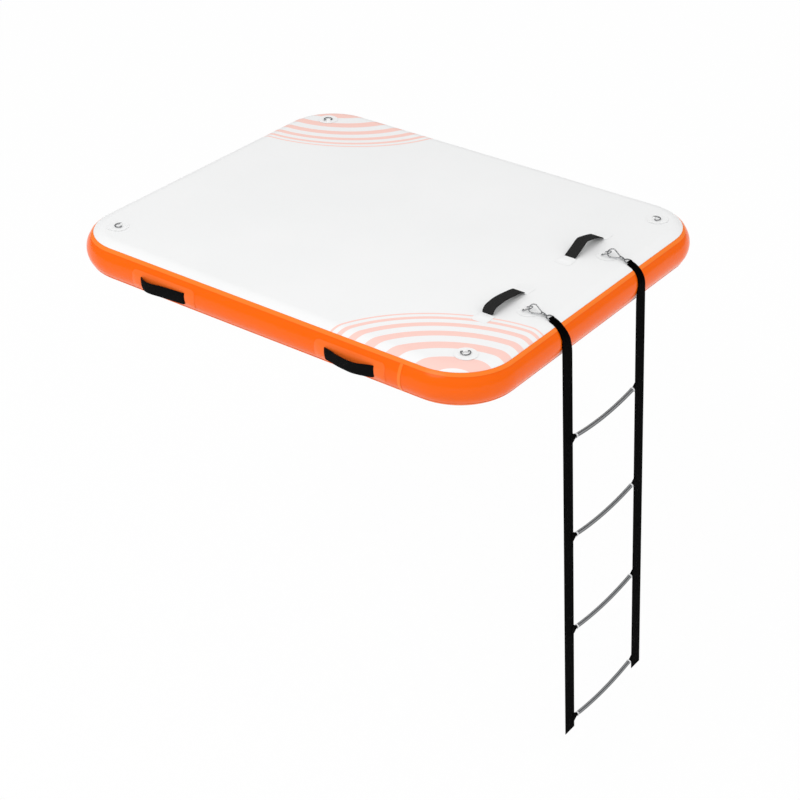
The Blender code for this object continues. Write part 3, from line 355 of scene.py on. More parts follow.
# Its dark valley colour is painted shade in the flutes, its light crown colour a painted highlight.
rung_skin = fluted_tube("fluted_tube_grey_painted_shade_and_highlight", "#1E1F20", "#8C8E90")
valve_nylon = grain_and_painted_mottle("moulded_nylon_black", "#131415", "#1D1E20", 0.0012, 0.45, 0.3)
yarn = grain_and_painted_mottle("polyester_cloth_raw", "#D9D8D2", "#E6E5DF", 0.0015, 0.85, 0.5)
print("materials", len(bpy.data.materials))

# %% [markdown]
# ## How a bmesh becomes a piece
# Every piece below goes through one function: it makes the object at the origin, smooths it, gives it
# its material, lets it ride on a body of the frame and hides the CAD nodes that it stands for.


# %% The piece function
SHEET_RIM, RIM_ANGLE = 0.0003, radians(60)


def add_piece(name, bm, material, body, replaces=(), smooth=40):
    """Makes a piece from a bmesh, smooth wherever its faces meet at less than smooth degrees."""
    mesh = mesh_from(name, bm)
    mesh.shade_smooth()
    mesh.set_sharp_from_angle(angle=radians(smooth))
    mesh.materials.append(material)
    piece = new_object(name, mesh)
    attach(piece, body)
    if replaces:
        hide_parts(*replaces)
    return piece


def thicken(piece, thickness, offset=-1, rim=0.0):
    """A live Solidify, and a Bevel that rounds the rim where rim isn't 0."""
    shell = {"thickness": thickness, "offset": offset}
    with_settings(piece.modifiers.new("thickness", "SOLIDIFY"), shell)
    if rim:
        bevel = {"width": rim, "segments": 2, "limit_method": "ANGLE", "angle_limit": RIM_ANGLE}
        with_settings(piece.modifiers.new("rim", "BEVEL"), bevel)


# %% [markdown]
# ## The skins of the pad
# Deck, rail and tapes are all one move: an open outline is swept once round the pad. Extrude draws the
# straight runs and spin turns the corners, so the outline stays exact on both. The deck is the same
# sweep with its inner edge filled.


# %% Sweep round the pad
CORNER_STEPS = 28


def rail_outline(radius, angles):
    """Points (out, height) on the half-round rail, at angles in degrees from straight up."""
    turns = [radians(angle) for angle in angles]
    return [(radius * sin(turn), MID + radius * cos(turn)) for turn in turns]


def of_kind(items, kind):
    """Those of the items that are of one bmesh type."""
    return [item for item in items if isinstance(item, kind)]


def extruded(bm, edges, shift):
    """Extrudes edges by shift. Returns the new vertices and the edges between them."""
    made = bmesh.ops.extrude_edge_only(bm, edges=edges)["geom"]
    verts = of_kind(made, bmesh.types.BMVert)
    bmesh.ops.translate(bm, verts=verts, vec=shift)
    ends = set(verts)
    return verts, [edge for edge in of_kind(made, bmesh.types.BMEdge) if set(edge.verts) <= ends]


def carry_round(outline):
    """Sweeps an open outline of (out, height) once round the pad, with its faces out."""
    bm = bmesh.new()
    run_x, run_y = FLAT_X - FLAT_R, FLAT_Y - FLAT_R
    verts = [bm.verts.new((FLAT_X + out, -run_y, z)) for out, z in outline]
    edges = [bm.edges.new(pair) for pair in zip(verts, verts[1:])]
    corners = [(run_x, run_y), (-run_x, run_y), (-run_x, -run_y), (run_x, -run_y)]
    runs = [(0, 2 * run_y), (-2 * run_x, 0), (0, -2 * run_y), (2 * run_x, 0)]
    quarter = {"axis": (0, 0, 1), "angle": pi / 2, "steps": CORNER_STEPS}
    for corner, run in zip(corners, runs):
        verts, edges = extruded(bm, edges, (*run, 0))
        last = bmesh.ops.spin(bm, geom=verts + edges, cent=(*corner, 0), **quarter)["geom_last"]
        edges = of_kind(last, bmesh.types.BMEdge)
    weld(bm)
    face_out(bm)
    furthest = max(bm.faces, key=lambda face: face.calc_center_median().x)
    if furthest.normal.x < 0:
        bmesh.ops.reverse_faces(bm, faces=bm.faces)
    return bm


def mirror_height(bm):
    """Turns a swept skin upside down about the pad's middle, with its faces still out."""
    bmesh.ops.scale(bm, vec=(1, 1, -1), space=Matrix.Translation((0, 0, -MID)), verts=bm.verts)
    bmesh.ops.reverse_faces(bm, faces=bm.faces)
    return bm


# %% Deck and underside
DECK_WRAP = 36
deck_outline = rail_outline(RAIL, range(0, DECK_WRAP + 1, 3))


def deck_skin():
    """A sheet with its turned rim: the outline swept round, and its inner edge filled."""
    bm = carry_round(deck_outline)
    top = max(v.co.z for v in bm.verts)
    inner = [e for e in bm.edges if e.is_boundary and all(v.co.z > top - GAP for v in e.verts)]
    bmesh.ops.contextual_create(bm, geom=inner)
    bm.normal_update()
    flat = max(bm.faces, key=lambda face: face.calc_area())
    if flat.normal.z < 0:
        bmesh.ops.reverse_faces(bm, faces=[flat])
    return bm


deck = add_piece("deck", deck_skin(), deck_pvc, "pad", ["deck_sheet"])
under_skin = mirror_height(deck_skin())
underside = add_piece("underside", under_skin, plain_pvc, "pad", ["underside_sheet"])
for sheet in (deck, underside):
    thicken(sheet, SHEET, rim=SHEET_RIM)
print("deck", len(deck.data.polygons), "faces")

# %% [markdown]
# ## The rail, its tapes and the hole for the valve
# The rail's strip lies under the deck's turned edge, and a tape covers each joint. Each tape stands a
# sheet's thickness proud, which draws the fine line that the light catches. The valve goes through the
# rail on the far end, so a boolean cuts its hole once and the result is kept as plain mesh.


# %% Rail and its hole
WALL_ANGLES = range(28, 153, 4)
VALVE_INSET, PUNCH_R, PUNCH_LONG = 0.110, 0.0173, 0.06


def keep_shape(piece):
    """Replaces a piece's mesh by what its modifiers make of it."""
    graph = bpy.context.evaluated_depsgraph_get()
    mesh = bpy.data.meshes.new_from_object(piece.evaluated_get(graph), depsgraph=graph)
    piece.modifiers.clear()
    piece.data = mesh


wall = carry_round(rail_outline(WALL_R, WALL_ANGLES))
rail = add_piece("rail", wall, rail_pvc, "pad", ["side_wall"])
thicken(rail, SHEET)
valve_spot = (-FLAT_X - WALL_R, FLAT_Y - FLAT_R - VALVE_INSET, MID)
punch_bm = bmesh.new()
bmesh.ops.create_cone(
    punch_bm, cap_ends=True, segments=48, radius1=PUNCH_R, radius2=PUNCH_R, depth=PUNCH_LONG
)
turn = Matrix.Translation(valve_spot) @ Matrix.Rotation(pi / 2, 4, "Y")
move(punch_bm, turn)
punch = new_object("valve_punch", mesh_from("valve_punch", punch_bm))
cut = {"operation": "DIFFERENCE", "solver": "EXACT", "object": punch}
with_settings(rail.modifiers.new("valve_hole", "BOOLEAN"), cut)
keep_shape(rail)
bpy.data.objects.remove(punch)
print("rail", len(rail.data.polygons), "faces")

# %% Tapes
TAPE_ANGLES = [DECK_WRAP + 0.25, 38, 40, 42, 44, 46, 48]
tape_outline = rail_outline(RAIL, TAPE_ANGLES)
top_band = carry_round(tape_outline)
bottom_band = mirror_height(carry_round(tape_outline))
for place, band in (("top", top_band), ("bottom", bottom_band)):
    tape = add_piece(f"{place}_tape", band, tape_pvc, "pad", [f"{place}_seam_tape"])
    thicken(tape, SHEET, rim=SHEET_RIM)

# %% [markdown]
# ## Placing things on the deck and on the rail
# A handle or a patch is first laid out flat, along, across and up, and then carried to its place by a
# rule. On the rail the rule wraps the flat layout round the curve; what stands well off the wall stays
# straight across, as a stiff band does.


# %% Rules that carry a flat layout to its place
CURVED_TO, STRAIGHT_FROM = 0.003, 0.020  # heights over the wall


def on_wall(side, centre_x, centre_angle):
    """The rule for the rail of one side, about centre_x and an angle in degrees from straight up."""
    middle = radians(centre_angle)
    out = Vector((0, sin(middle), cos(middle)))
    down = Vector((0, cos(middle), -sin(middle)))

    def rule(along, across, up):
        angle, radius = middle + across / WALL_R, WALL_R + up
        curved = Vector((0, FLAT_Y + radius * sin(angle), radius * cos(angle)))
        flat = Vector((0, FLAT_Y, 0)) + out * radius + down * across
        spot = curved.lerp(flat, smooth_share((up - CURVED_TO) / (STRAIGHT_FROM - CURVED_TO)))
        return Vector((centre_x + along, side * spot.y, MID + spot.z))

    return rule


def on_deck(centre_x, centre_y, heading=90):
    """The rule for the deck, where along runs at heading degrees from +X."""
    turn = Matrix.Rotation(radians(heading), 3, "Z")

    def rule(along, across, up):
        return turn @ Vector((along, -across, 0)) + Vector((centre_x, centre_y, THICK + up))

    return rule


# %% [markdown]
# ## A band of webbing
# The band starts as a flat grid whose UV map is its size in metres. Only then is each point carried
# onto the path, so ribs and cords follow every bend. Solidify gives the thickness and a small bevel
# the soft edge of a woven band.


# %% The band function
WEB, WEB_RIM, HANDLE_WIDE, SLIT_CORNER = 0.0018, 0.0004, 0.044, 0.006
BAND_STEP, BAND_ACROSS = 0.002, 8


def path_spot(path, distance):
    """The point of a flat path at this distance from its start."""
    left = distance
    for (a, b), (c, d) in zip(path, path[1:]):
        step = hypot(c - a, d - b)
        if left <= step or (c, d) == path[-1]:
            share = left / step
            return (a + (c - a) * share, b + (d - b) * share)
        left -= step


def path_length(path):
    """The length of a flat path."""
    return sum(hypot(c - a, d - b) for (a, b), (c, d) in zip(path, path[1:]))


def band_uv(bm, axes):
    """Writes the UV map band, in metres, from two axes of each corner, such as xy."""
    layer = bm.loops.layers.uv.new("band")
    for face in bm.faces:
        for loop in face.loops:
            loop[layer].uv = getattr(loop.vert.co, axes)


def flat_band(length, width, steps, across):
    """A grid from 0 to length along X, centred across Y, with the UV map band."""
    bm = bmesh.new()
    bmesh.ops.create_grid(bm, x_segments=steps, y_segments=across, size=0.5)
    bmesh.ops.translate(bm, verts=bm.verts, vec=(0.5, 0, 0))
    bmesh.ops.scale(bm, vec=(length, width, 1), verts=bm.verts)
    band_uv(bm, "xy")
    return bm


def slit_share(along, span):
    """The share of a handle's width here: its corners are rounded where it goes into a slit."""
    inside = min(max(span / 2 - abs(along), 0), SLIT_CORNER)
    cut = SLIT_CORNER - sqrt(SLIT_CORNER**2 - (SLIT_CORNER - inside) ** 2)
    return 1 - 2 * cut / HANDLE_WIDE


def handle_piece(name, path, span, rule, material, replaces):
    """A handle: a band along a path of (along, up), carried to its place by rule."""
    length = path_length(path)
    bm = flat_band(length, HANDLE_WIDE, round(length / BAND_STEP), BAND_ACROSS)
    for vert in bm.verts:
        along, up = path_spot(path, vert.co.x)
        vert.co = rule(along, vert.co.y * slit_share(along, span), up)
    piece = add_piece(name, bm, material, "pad", replaces, smooth=50)
    thicken(piece, WEB, 0, WEB_RIM)


# %% [markdown]
# ## Handles
# Each handle is one band that comes out of a slit in its patch and goes back in at another. All have a
# shape set in them from being folded away: the rail's handles hang nearly flat, each with its own
# crest, and of the deck's two one stands square and the other peaks.


# %% Handle outlines
STUB = 0.010  # how much of each tucked end is drawn


def curve_through(points, steps=8):
    """A smooth curve through points (along, up), by the Catmull-Rom rule."""
    curve = []
    ends = [points[0]] + points + [points[-1]]
    for a, b, c, d in zip(ends, ends[1:], ends[2:], ends[3:]):
        for step in range(steps):
            t = step / steps
            weights = (
                -0.5 * t + t * t - 0.5 * t**3,
                1 - 2.5 * t * t + 1.5 * t**3,
                0.5 * t + 2 * t * t - 1.5 * t**3,
                -0.5 * t * t + 0.5 * t**3,
            )
            curve.append(tuple(sum(w * p[k] for w, p in zip(weights, (a, b, c, d))) for k in (0, 1)))
    return curve + [points[-1]]


def set_handle(span, rise, shares):
    """A handle that keeps a fold: shares are (place along the span, share of the rise)."""
    rest = GAP + WEB / 2
    points = [(0.0, 0.0)] + list(shares) + [(1.0, 0.0)]
    path = curve_through([(span * (along - 0.5), rest + rise * up) for along, up in points])
    above = [(along, max(up, rest)) for along, up in path]
    return [(-span / 2 - STUB, rest)] + above + [(span / 2 + STUB, rest)]


# %% [markdown]
# ## Patches
# A patch is a piece of coated cloth, welded on with a softly pressed edge. It starts as one rounded
# outline, is cut into rows and columns, and is then carried onto the deck or round the rail. Over the
# tucked ends of the webbing it rises.


# %% The patch function
PATCH_THICK, PATCH_CUTS, TUCK = 0.0008, 0.006, 0.032
SHOULDER, SLIT_SHOULDER = 0.006, 0.004


def rounded_outline(long, wide, radius, steps=8):
    """A face with rounded corners, in a new bmesh."""
    bm = bmesh.new()
    spots = []
    for quarter, (sx, sy) in enumerate(((1, 1), (-1, 1), (-1, -1), (1, -1))):
        for step in range(steps + 1):
            angle = pi / 2 * (quarter + step / steps)
            x = sx * (long / 2 - radius) + radius * cos(angle)
            y = sy * (wide / 2 - radius) + radius * sin(angle)
            spots.append((x, y, 0))
    bm.faces.new([bm.verts.new(spot) for spot in spots])
    weld(bm)
    return bm


def cut_grid(bm, size):
    """Cuts a flat face into rows and columns, each about size wide."""
    for axis in (0, 1):
        places = [vert.co[axis] for vert in bm.verts]
        low, high = min(places), max(places)
        count = round((high - low) / size)
        for k in range(1, count):
            spot, normal = [0, 0, 0], [0, 0, 0]
            spot[axis] = low + (high - low) * k / count
            normal[axis] = 1
            geometry = bm.verts[:] + bm.edges[:] + bm.faces[:]
            bmesh.ops.bisect_plane(bm, geom=geometry, plane_co=spot, plane_no=normal, dist=SAME)


def patch_piece(name, bm, rule, material, slot, replaces, rise, cuts=PATCH_CUTS):
    """Welded cloth patch. rise(along, across) is how far it stands above the sheet under it."""
    cut_grid(bm, cuts)
    for vert in bm.verts:
        along, across = vert.co.xy
        vert.co = rule(along, across, GAP + PATCH_THICK + rise(along, across))
    face_out(bm)
    bm.normal_update()
    face = bm.faces[:][len(bm.faces) // 2]
    out = Vector((0, 0, 1)) if slot == "deck" else Vector((0, face.calc_center_median().y, 0))
    if face.normal.dot(out) < 0:
        bmesh.ops.reverse_faces(bm, faces=bm.faces)
    piece = add_piece(name, bm, material, "pad", replaces, smooth=50)
    thicken(piece, PATCH_THICK, rim=SHEET_RIM)


def over_tucks(span):
    """A rise where the tucked ends of a handle lie under the patch, with soft shoulders."""

    def below(edge, value, width):
        return smooth_share((edge - value) / width + 0.5)

    def rise(along, across):
        beyond = abs(along) - span / 2
        ends = below(SLIT_SHOULDER / 2, -beyond, SLIT_SHOULDER) * below(TUCK, beyond, SHOULDER)
        return (WEB + GAP) * ends * below(HANDLE_WIDE / 2, abs(across), SHOULDER)

    return rise


# %% Rail handles and their patches
SIDE_SPAN, SIDE_RISE, SIDE_X, SIDE_ANGLE = 0.205, 0.021, 0.41, 94.5
SIDE_PATCH = (0.290, 0.080, 0.018)
LOW_SET = [
    (0.03, 0.26), (0.09, 0.52), (0.154, 0.71), (0.232, 0.80), (0.324, 0.77), (0.417, 0.66),
    (0.515, 0.56), (0.627, 0.49), (0.744, 0.41), (0.84, 0.36), (0.93, 0.31), (0.97, 0.24),
]
ROUND_SET = [
    (0.03, 0.24), (0.09, 0.33), (0.15, 0.42), (0.22, 0.54), (0.30, 0.70), (0.40, 0.83), (0.48, 0.90),
    (0.55, 0.96), (0.61, 0.98), (0.675, 0.92), (0.744, 0.80), (0.807, 0.65), (0.866, 0.50),
    (0.93, 0.34), (0.97, 0.24),
]
side_paths = [set_handle(SIDE_SPAN, SIDE_RISE, shares) for shares in (LOW_SET, ROUND_SET)]
side_spots = [(-1, -SIDE_X), (-1, SIDE_X), (1, -SIDE_X), (1, SIDE_X)]
for number, (side, x) in enumerate(side_spots, 1):
    rule = on_wall(side, x, SIDE_ANGLE)
    name, node = f"rail_handle_patch_{number}", f"side_patch_{number}"
    outline = rounded_outline(*SIDE_PATCH)
    patch_piece(name, outline, rule, patch_pvc, "rail", [node], over_tucks(SIDE_SPAN))
    path = side_paths[0 if x < 0 else 1]
    node = f"side_handle_{number}"
    handle_piece(f"rail_handle_{number}", path, SIDE_SPAN, rule, rail_webbing, [node])
print("rail handles", [round(path_length(path) * 1000) for path in side_paths], "mm of webbing")

# %% Deck handles and their patches
DECK_SPAN, DECK_RISE = 0.196, 0.0365
DECK_HANDLE_X, DECK_HANDLE_Y = FLAT_X - 0.168, 0.2535
FLAT_SET = [
    (0.03, 0.28), (0.088, 0.56), (0.20, 0.66), (0.333, 0.71), (0.50, 0.65), (0.637, 0.55),
    (0.80, 0.42), (0.93, 0.28), (0.985, 0.10),
]
PEAKED_SET = [
    (0.06, 0.15), (0.185, 0.45), (0.34, 0.86), (0.40, 0.98), (0.47, 0.98), (0.64, 0.79),
    (0.845, 0.51), (0.93, 0.32), (0.985, 0.10),
]
DECK_PATCH, DECK_PATCH_CORNER = 0.062, 0.014
SLIT_INSET = DECK_PATCH / 2 - HANDLE_WIDE / 8
deck_paths = [set_handle(DECK_SPAN, DECK_RISE, shares) for shares in (FLAT_SET, PEAKED_SET)]
for (number, side), path in zip(SIDES, deck_paths):
    y = side * DECK_HANDLE_Y
    for mark, end in (("a", -1), ("b", 1)):

        def patch_rise(along, across, end=end):
            return over_tucks(0)(max(end * along + SLIT_INSET, 0), across)

        name, node = f"deck_handle_patch_{number}{mark}", f"deck_patch_{number}{mark}"
        outline = rounded_outline(DECK_PATCH, DECK_PATCH, DECK_PATCH_CORNER)
        rule = on_deck(DECK_HANDLE_X, y + end * (DECK_SPAN / 2 + SLIT_INSET))
        patch_piece(name, outline, rule, plain_pvc, "deck", [node], patch_rise)
    rule = on_deck(DECK_HANDLE_X, y)
    node = f"deck_handle_{number}"
    handle_piece(f"deck_grip_{number}", path, DECK_SPAN, rule, deck_webbing, [node])

# %% [markdown]
# ## Wire parts
# Rings, swivel eyes and hooks are bent from round steel wire. A bevelled curve carries a circle along
# a path and turns it at each step, so each wire is a curve that is then made into mesh.


# %% Wire along a path
def wire_bmesh(points, radius, closed, matrix):
    """Round wire along points, closed to a ring or with flat ends, carried by the matrix."""
    shape = {"dimensions": "3D", "bevel_depth": radius, "bevel_resolution": 5, "use_fill_caps": True}
    curve = with_settings(bpy.data.curves.new("wire", "CURVE"), shape)
    spline = curve.splines.new("POLY")
    spline.points.add(len(points) - 1)
    for spot, point in zip(spline.points, points):
        spot.co = (*point, 1)
    spline.use_cyclic_u = closed
    guide = new_object("wire_guide", curve)
    graph = bpy.context.evaluated_depsgraph_get()
    mesh = bpy.data.meshes.new_from_object(guide.evaluated_get(graph))
    bpy.data.objects.remove(guide)
    bm = bmesh.new()
    bm.from_mesh(mesh)
    bpy.data.meshes.remove(mesh)
    weld(bm)
    move(bm, matrix)
    face_out(bm)
    return bm


def join(bm, other):
    """Adds the other bmesh to bm and frees it."""
    mesh = mesh_from("joined", other)
    bm.from_mesh(mesh)
    bpy.data.meshes.remove(mesh)


def turned(outline, steps, matrix):
    """A turned part: an outline of (x, radius), spun about X and carried by the matrix."""
    bm = bmesh.new()
    verts = [bm.verts.new((x, r, 0)) for x, r in outline]
    edges = [bm.edges.new(pair) for pair in zip(verts, verts[1:])]
    whole = {"axis": (1, 0, 0), "cent": (0, 0, 0), "angle": tau, "use_merge": True}
    bmesh.ops.spin(bm, geom=verts + edges, steps=steps, **whole)
    weld(bm)
    face_out(bm)
    move(bm, matrix)
    return bm


# %% [markdown]
# ## Tie-down rings on their patches
# A D ring is held by a tab that wraps its straight bar and is welded to a round patch. The ring keeps
# the CAD's centre line with more points, so it looks bent and not folded.

# %% Ring, tab and patch sizes
PATCH_TOP = THICK + GAP + SHEET
RING_WIRE, RING_WIDE, RING_DEEP, CORNER_RING_DEEP, RING_CORNER = 0.0020, 0.032, 0.030, 0.023, 0.003
TAB_SKIN, TAB_LONG, TAB_TONGUE, TAB_TRIM = 0.0015, 0.016, 0.020, 0.0003
TAB_LIP, TAB_SLOPE, TAB_ROOT, TAB_SINK = 0.0006, 0.0010, 0.0045, 0.0005
TAB_R = RING_WIRE + GAP + TAB_SKIN
BAR_HEIGHT = PATCH_TOP + TAB_R - TAB_SINK
ROUND_PATCH, ROUND_CUTS = 0.080, 0.002
WELD_R, WELD_WIDE, WELD_DEEP, PUFF = 0.034, 0.0014, 0.0007, 0.0004


def d_ring(wide, deep, corner, arc_steps=36, corner_steps=6):
    """Centre line of a D ring: its bar on the Y axis, its crown along +X."""
    half = wide / 2
    quarter = [pi - pi / 2 * step / corner_steps for step in range(corner_steps + 1)]
    upper = [(corner + corner * cos(a), half - corner + corner * sin(a), 0) for a in quarter]
    crown = [
        (deep - half + half * cos(a), half * sin(a), 0)
        for a in (pi / 2 - pi * step / arc_steps for step in range(1, arc_steps))
    ]
    return upper + crown + [(x, -y, z) for x, y, z in reversed(upper)]


def weld_rise(along, across):
    """The rise of a round patch, pressed down along a ring near its rim."""
    off = (hypot(along, across) - WELD_R) / WELD_WIDE
    return PUFF - WELD_DEEP * exp(-(off**2))


def tab_bmesh(rule):
    """The tab round a ring's bar and its tongue on the patch, carried by the rule."""
    turns = [radians(angle) for angle in range(-80, 181, 20)]
    bar, low = BAR_HEIGHT - THICK, PATCH_TOP - THICK
    high = low + TAB_SKIN
    roll = [(TAB_R * sin(turn), bar + TAB_R * cos(turn)) for turn in turns]
    line = [(-TAB_TONGUE, low + TAB_LIP), (-TAB_TONGUE + TAB_SLOPE, high), (-TAB_ROOT, high)]
    outline = line + roll + [(-TAB_TONGUE, low)]
    start = -TAB_LONG / 2 + TAB_TRIM
    bm = bmesh.new()
    base = bm.faces.new([bm.verts.new((along, start, up)) for along, up in outline])
    made = bmesh.ops.extrude_face_region(bm, geom=[base])["geom"]
    bmesh.ops.translate(bm, vec=(0, -2 * start, 0), verts=of_kind(made, bmesh.types.BMVert))
    for vert in bm.verts:
        vert.co = rule(*vert.co)
    face_out(bm)
    return bm


# %% The ring function
def ring_set(kind, number, x, y, heading, tilt, deep=RING_DEEP):
    """A D ring that leans by tilt degrees, its patch and its tab. x and y are those of its bar."""
    place = Matrix.Translation((x, y, BAR_HEIGHT)) @ Matrix.Rotation(radians(heading), 4, "Z")
    lean = place @ Matrix.Rotation(-radians(tilt), 4, "Y")
    wire = wire_bmesh(d_ring(RING_WIDE, deep, RING_CORNER), RING_WIRE, True, lean)
    ring = f"{kind}_ring_{number}"
    add_piece(f"{kind}_d_ring_{number}", wire, steel, ring, [ring], smooth=80)
    rule = on_deck(x, y, heading)

    def disc_rule(along, across, up):
        return rule(along + deep / 2, across, up)

    name, node = f"{kind}_round_patch_{number}", f"{kind}_patch_{number}"
    disc = rounded_outline(ROUND_PATCH, ROUND_PATCH, ROUND_PATCH / 2 - 0.0001, steps=14)
    patch_piece(name, disc, disc_rule, plain_pvc, "deck", [node], weld_rise, ROUND_CUTS)
    add_piece(f"{kind}_tab_{number}", tab_bmesh(rule), plain_pvc, "pad", smooth=35)


# %% Corner rings
CORNER_INSET_X, CORNER_INSET_Y = 0.076, 0.0795
lift = BAR_HEIGHT - PATCH_TOP - RING_WIRE - GAP
lie_down = -degrees(asin(lift / CORNER_RING_DEEP))
for number, (sx, sy) in enumerate([(1, -1), (1, 1), (-1, 1), (-1, -1)], 1):
    heading = atan2(sy, sx)
    x = sx * (FLAT_X - CORNER_INSET_X) - CORNER_RING_DEEP / 2 * cos(heading)
    y = sy * (FLAT_Y - CORNER_INSET_Y) - CORNER_RING_DEEP / 2 * sin(heading)
    ring_set("corner", number, x, y, degrees(heading), lie_down, CORNER_RING_DEEP)
print("corner rings", number)

# %% [markdown]
# ## Snap hooks
# Each hook is a turned barrel with a pear-shaped bow of wire. A gate of straight wire swings on a pin
# in the barrel, and a swivel eye turns in the barrel's other end. All are drawn along X from the eye's
# bar, and the matrices of the CAD carry them to their place.

# %% Hook sizes and places
LADDER_Y, HOOK_Y = 0.238, 0.250
STRAP = 0.0022
EYE_WIRE, EYE_INNER, EYE_ARM, EYE_CORNER, EYE_OUT = 0.00225, 0.022, 0.005, 0.003, 0.018
NECK = EYE_ARM + EYE_INNER / 2 + EYE_WIRE
EYE_X = FLAT_X + EYE_OUT
EYE_Z = MID + sqrt((RAIL + GAP + STRAP + GAP + EYE_WIRE) ** 2 - (EYE_X - FLAT_X) ** 2)
HOOK_LONG, HOOK_WIRE, BOW_R, NOSE_AT, NOSE_SWELL = 0.088, 0.00225, 0.0155, 0.0705, 1.02
SPINE_ROOT, SPINE_EASE, BOW_STEPS, SPINE_STEPS = 0.0032, 0.55, 30, 18
BLOCK_R, BLOCK_START, BLOCK_END = 0.0055, 0.0255, 0.0405
GATE_PIVOT, GATE_OFFSET, GATE_WIRE = 0.038, 0.0025, 0.0020
GATE_TIP, GATE_TIP_OFFSET = 0.0685, 0.0149
TILT, HOOK_ROLL, CROWN_INSET = radians(10), radians(44), 0.0100
CROWN_X = EYE_X - (HOOK_LONG - CROWN_INSET) * cos(TILT)
CROWN_Z = EYE_Z + (HOOK_LONG - CROWN_INSET) * sin(TILT)
RING_TILT = degrees(asin((CROWN_Z - BAR_HEIGHT) / RING_DEEP))
LADDER_RING_X = CROWN_X - RING_DEEP * cos(radians(RING_TILT))
print("ladder rings lean", round(RING_TILT, 1), "degrees")


def hook_line():
    """The hook's wire in its own plane: nose, bow, spine and root."""
    bow = HOOK_LONG - BOW_R
    root = BLOCK_END - HOOK_WIRE
    slant = (BOW_R - GATE_TIP_OFFSET) / (bow - GATE_TIP)
    points = [(NOSE_AT, BOW_R - (bow - NOSE_AT) * slant, 0)]
    for step in range(BOW_STEPS + 1):
        angle = pi / 2 - pi * step / BOW_STEPS
        points.append((bow + BOW_R * cos(angle), BOW_R * sin(angle), 0))
    for step in range(1, SPINE_STEPS + 1):
        share = step / SPINE_STEPS
        inward = SPINE_EASE * smooth_share(share) + (1 - SPINE_EASE) * share
        points.append((bow + (root - bow) * share, -BOW_R + (BOW_R - SPINE_ROOT) * inward, 0))
    return points


def barrel_outline():
    """Half outline of the barrel (x, radius), with two turned grooves and rounded ends."""
    a, b, r = BLOCK_START, BLOCK_END, BLOCK_R
    line = [(a, 0.0024), (a, r - 0.0012), (a + 0.0004, r - 0.0004), (a + 0.0012, r)]
    for groove in (a + 0.0035, a + 0.0060):
        shape = ((0, 0), (0.0003, 0.0005), (0.0009, 0.0005), (0.0012, 0))
        line += [(groove + along, r - deep) for along, deep in shape]
    return line + [(b - 0.0014, r), (b - 0.0005, r - 0.0005), (b, r - 0.0016), (b, 0)]


def shank_outline():
    """Half outline (x, radius) of the swivel's shank, from the eye's neck to the barrel."""
    a, b = NECK, BLOCK_START - GAP
    line = [(a, 0), (a, 0.0020), (a + 0.0016, 0.0020), (a + 0.0020, 0.0031), (a + 0.0028, 0.0034)]
    return line + [(b - 0.0005, 0.0034), (b, 0.0030), (b, 0)]


def pin_outline():
    """Half outline (x, radius) of the gate's pin, with rounded ends."""
    end = [(0.0040, 0.0011), (0.0043, 0.0009), (0.0043, 0)]
    return [(-x, radius) for x, radius in reversed(end)] + end


# %% Hooks
for number, side in SIDES:
    y = side * HOOK_Y
    at_eye = Matrix.Translation((EYE_X, y, EYE_Z)) @ Matrix.Rotation(pi, 4, "Z")
    at_eye = at_eye @ Matrix.Rotation(-TILT, 4, "Y")
    rolled = at_eye @ Matrix.Rotation(pi * number - HOOK_ROLL, 4, "X")
    eye_ring = d_ring(EYE_INNER + 2 * EYE_WIRE, NECK, EYE_CORNER, 30)
    eye = wire_bmesh(eye_ring, EYE_WIRE, True, at_eye)
    join(eye, turned(shank_outline(), 32, at_eye))
    hook = wire_bmesh(hook_line(), HOOK_WIRE, False, rolled)
    join(hook, turned(barrel_outline(), 40, rolled))
    nose = bmesh.new()
    bmesh.ops.create_uvsphere(nose, u_segments=20, v_segments=12, radius=HOOK_WIRE * NOSE_SWELL)
    move(nose, rolled @ Matrix.Translation(hook_line()[0]))
    join(hook, nose)
    pivot = rolled @ Matrix.Translation((GATE_PIVOT, GATE_OFFSET, 0))
    reach = Vector((GATE_TIP - GATE_PIVOT, GATE_TIP_OFFSET - GATE_OFFSET, 0))
    gate = wire_bmesh([(0, 0, 0), reach * 0.5, reach], GATE_WIRE, False, pivot)
    join(gate, turned(pin_outline(), 20, pivot @ Matrix.Rotation(pi / 2, 4, "Y")))
    for name, bm, body, node in (
        ("swivel", eye, "eye", "swivel_eye"),
        ("snap_hook", hook, "hook", "hook_body"),
        ("gate_wire", gate, "gate", "hook_gate"),
    ):
        name, body, node = (f"{word}_{number}" for word in (name, body, node))
        add_piece(name, bm, steel, body, [node], smooth=50)
    ring_set("ladder", number, LADDER_RING_X, y, 0, RING_TILT)

# %% [markdown]
# ## The ladder's webbing
# Each side of the ladder is one band. It is gathered where it loops through the swivel eye, so pleats
# run down it and die out over the shoulder of the rail. Below the rail it hangs in lengths that meet at
# the fold lines of the frame.

# %% The line of the top straps
STRAP_WIDE, DRAWN_IN, GATHERED, STRAP_RIM = 0.060, 0.035, 0.022, 0.0005
FREE, SPREAD, GATHERING, TAIL = 0.032, 0.115, 0.010, 0.026
LOOP_START, LOOP_TURN, LOOP_STEPS, LAY_STEPS = pi / 3, pi * 7 / 6, 17, 30
LAY_R = RAIL + GAP + STRAP / 2
LAY_START = (EYE_X - FLAT_X) / LAY_R
ON_RAIL = LAY_R * (pi / 2 - LAY_START)


def over_rail(angle, height=0.0):
    """A point (x, z) over the rail's end, at an angle from straight up, for a band lying on it."""
    return FLAT_X + (LAY_R + height) * sin(angle), MID + (LAY_R + height) * cos(angle)


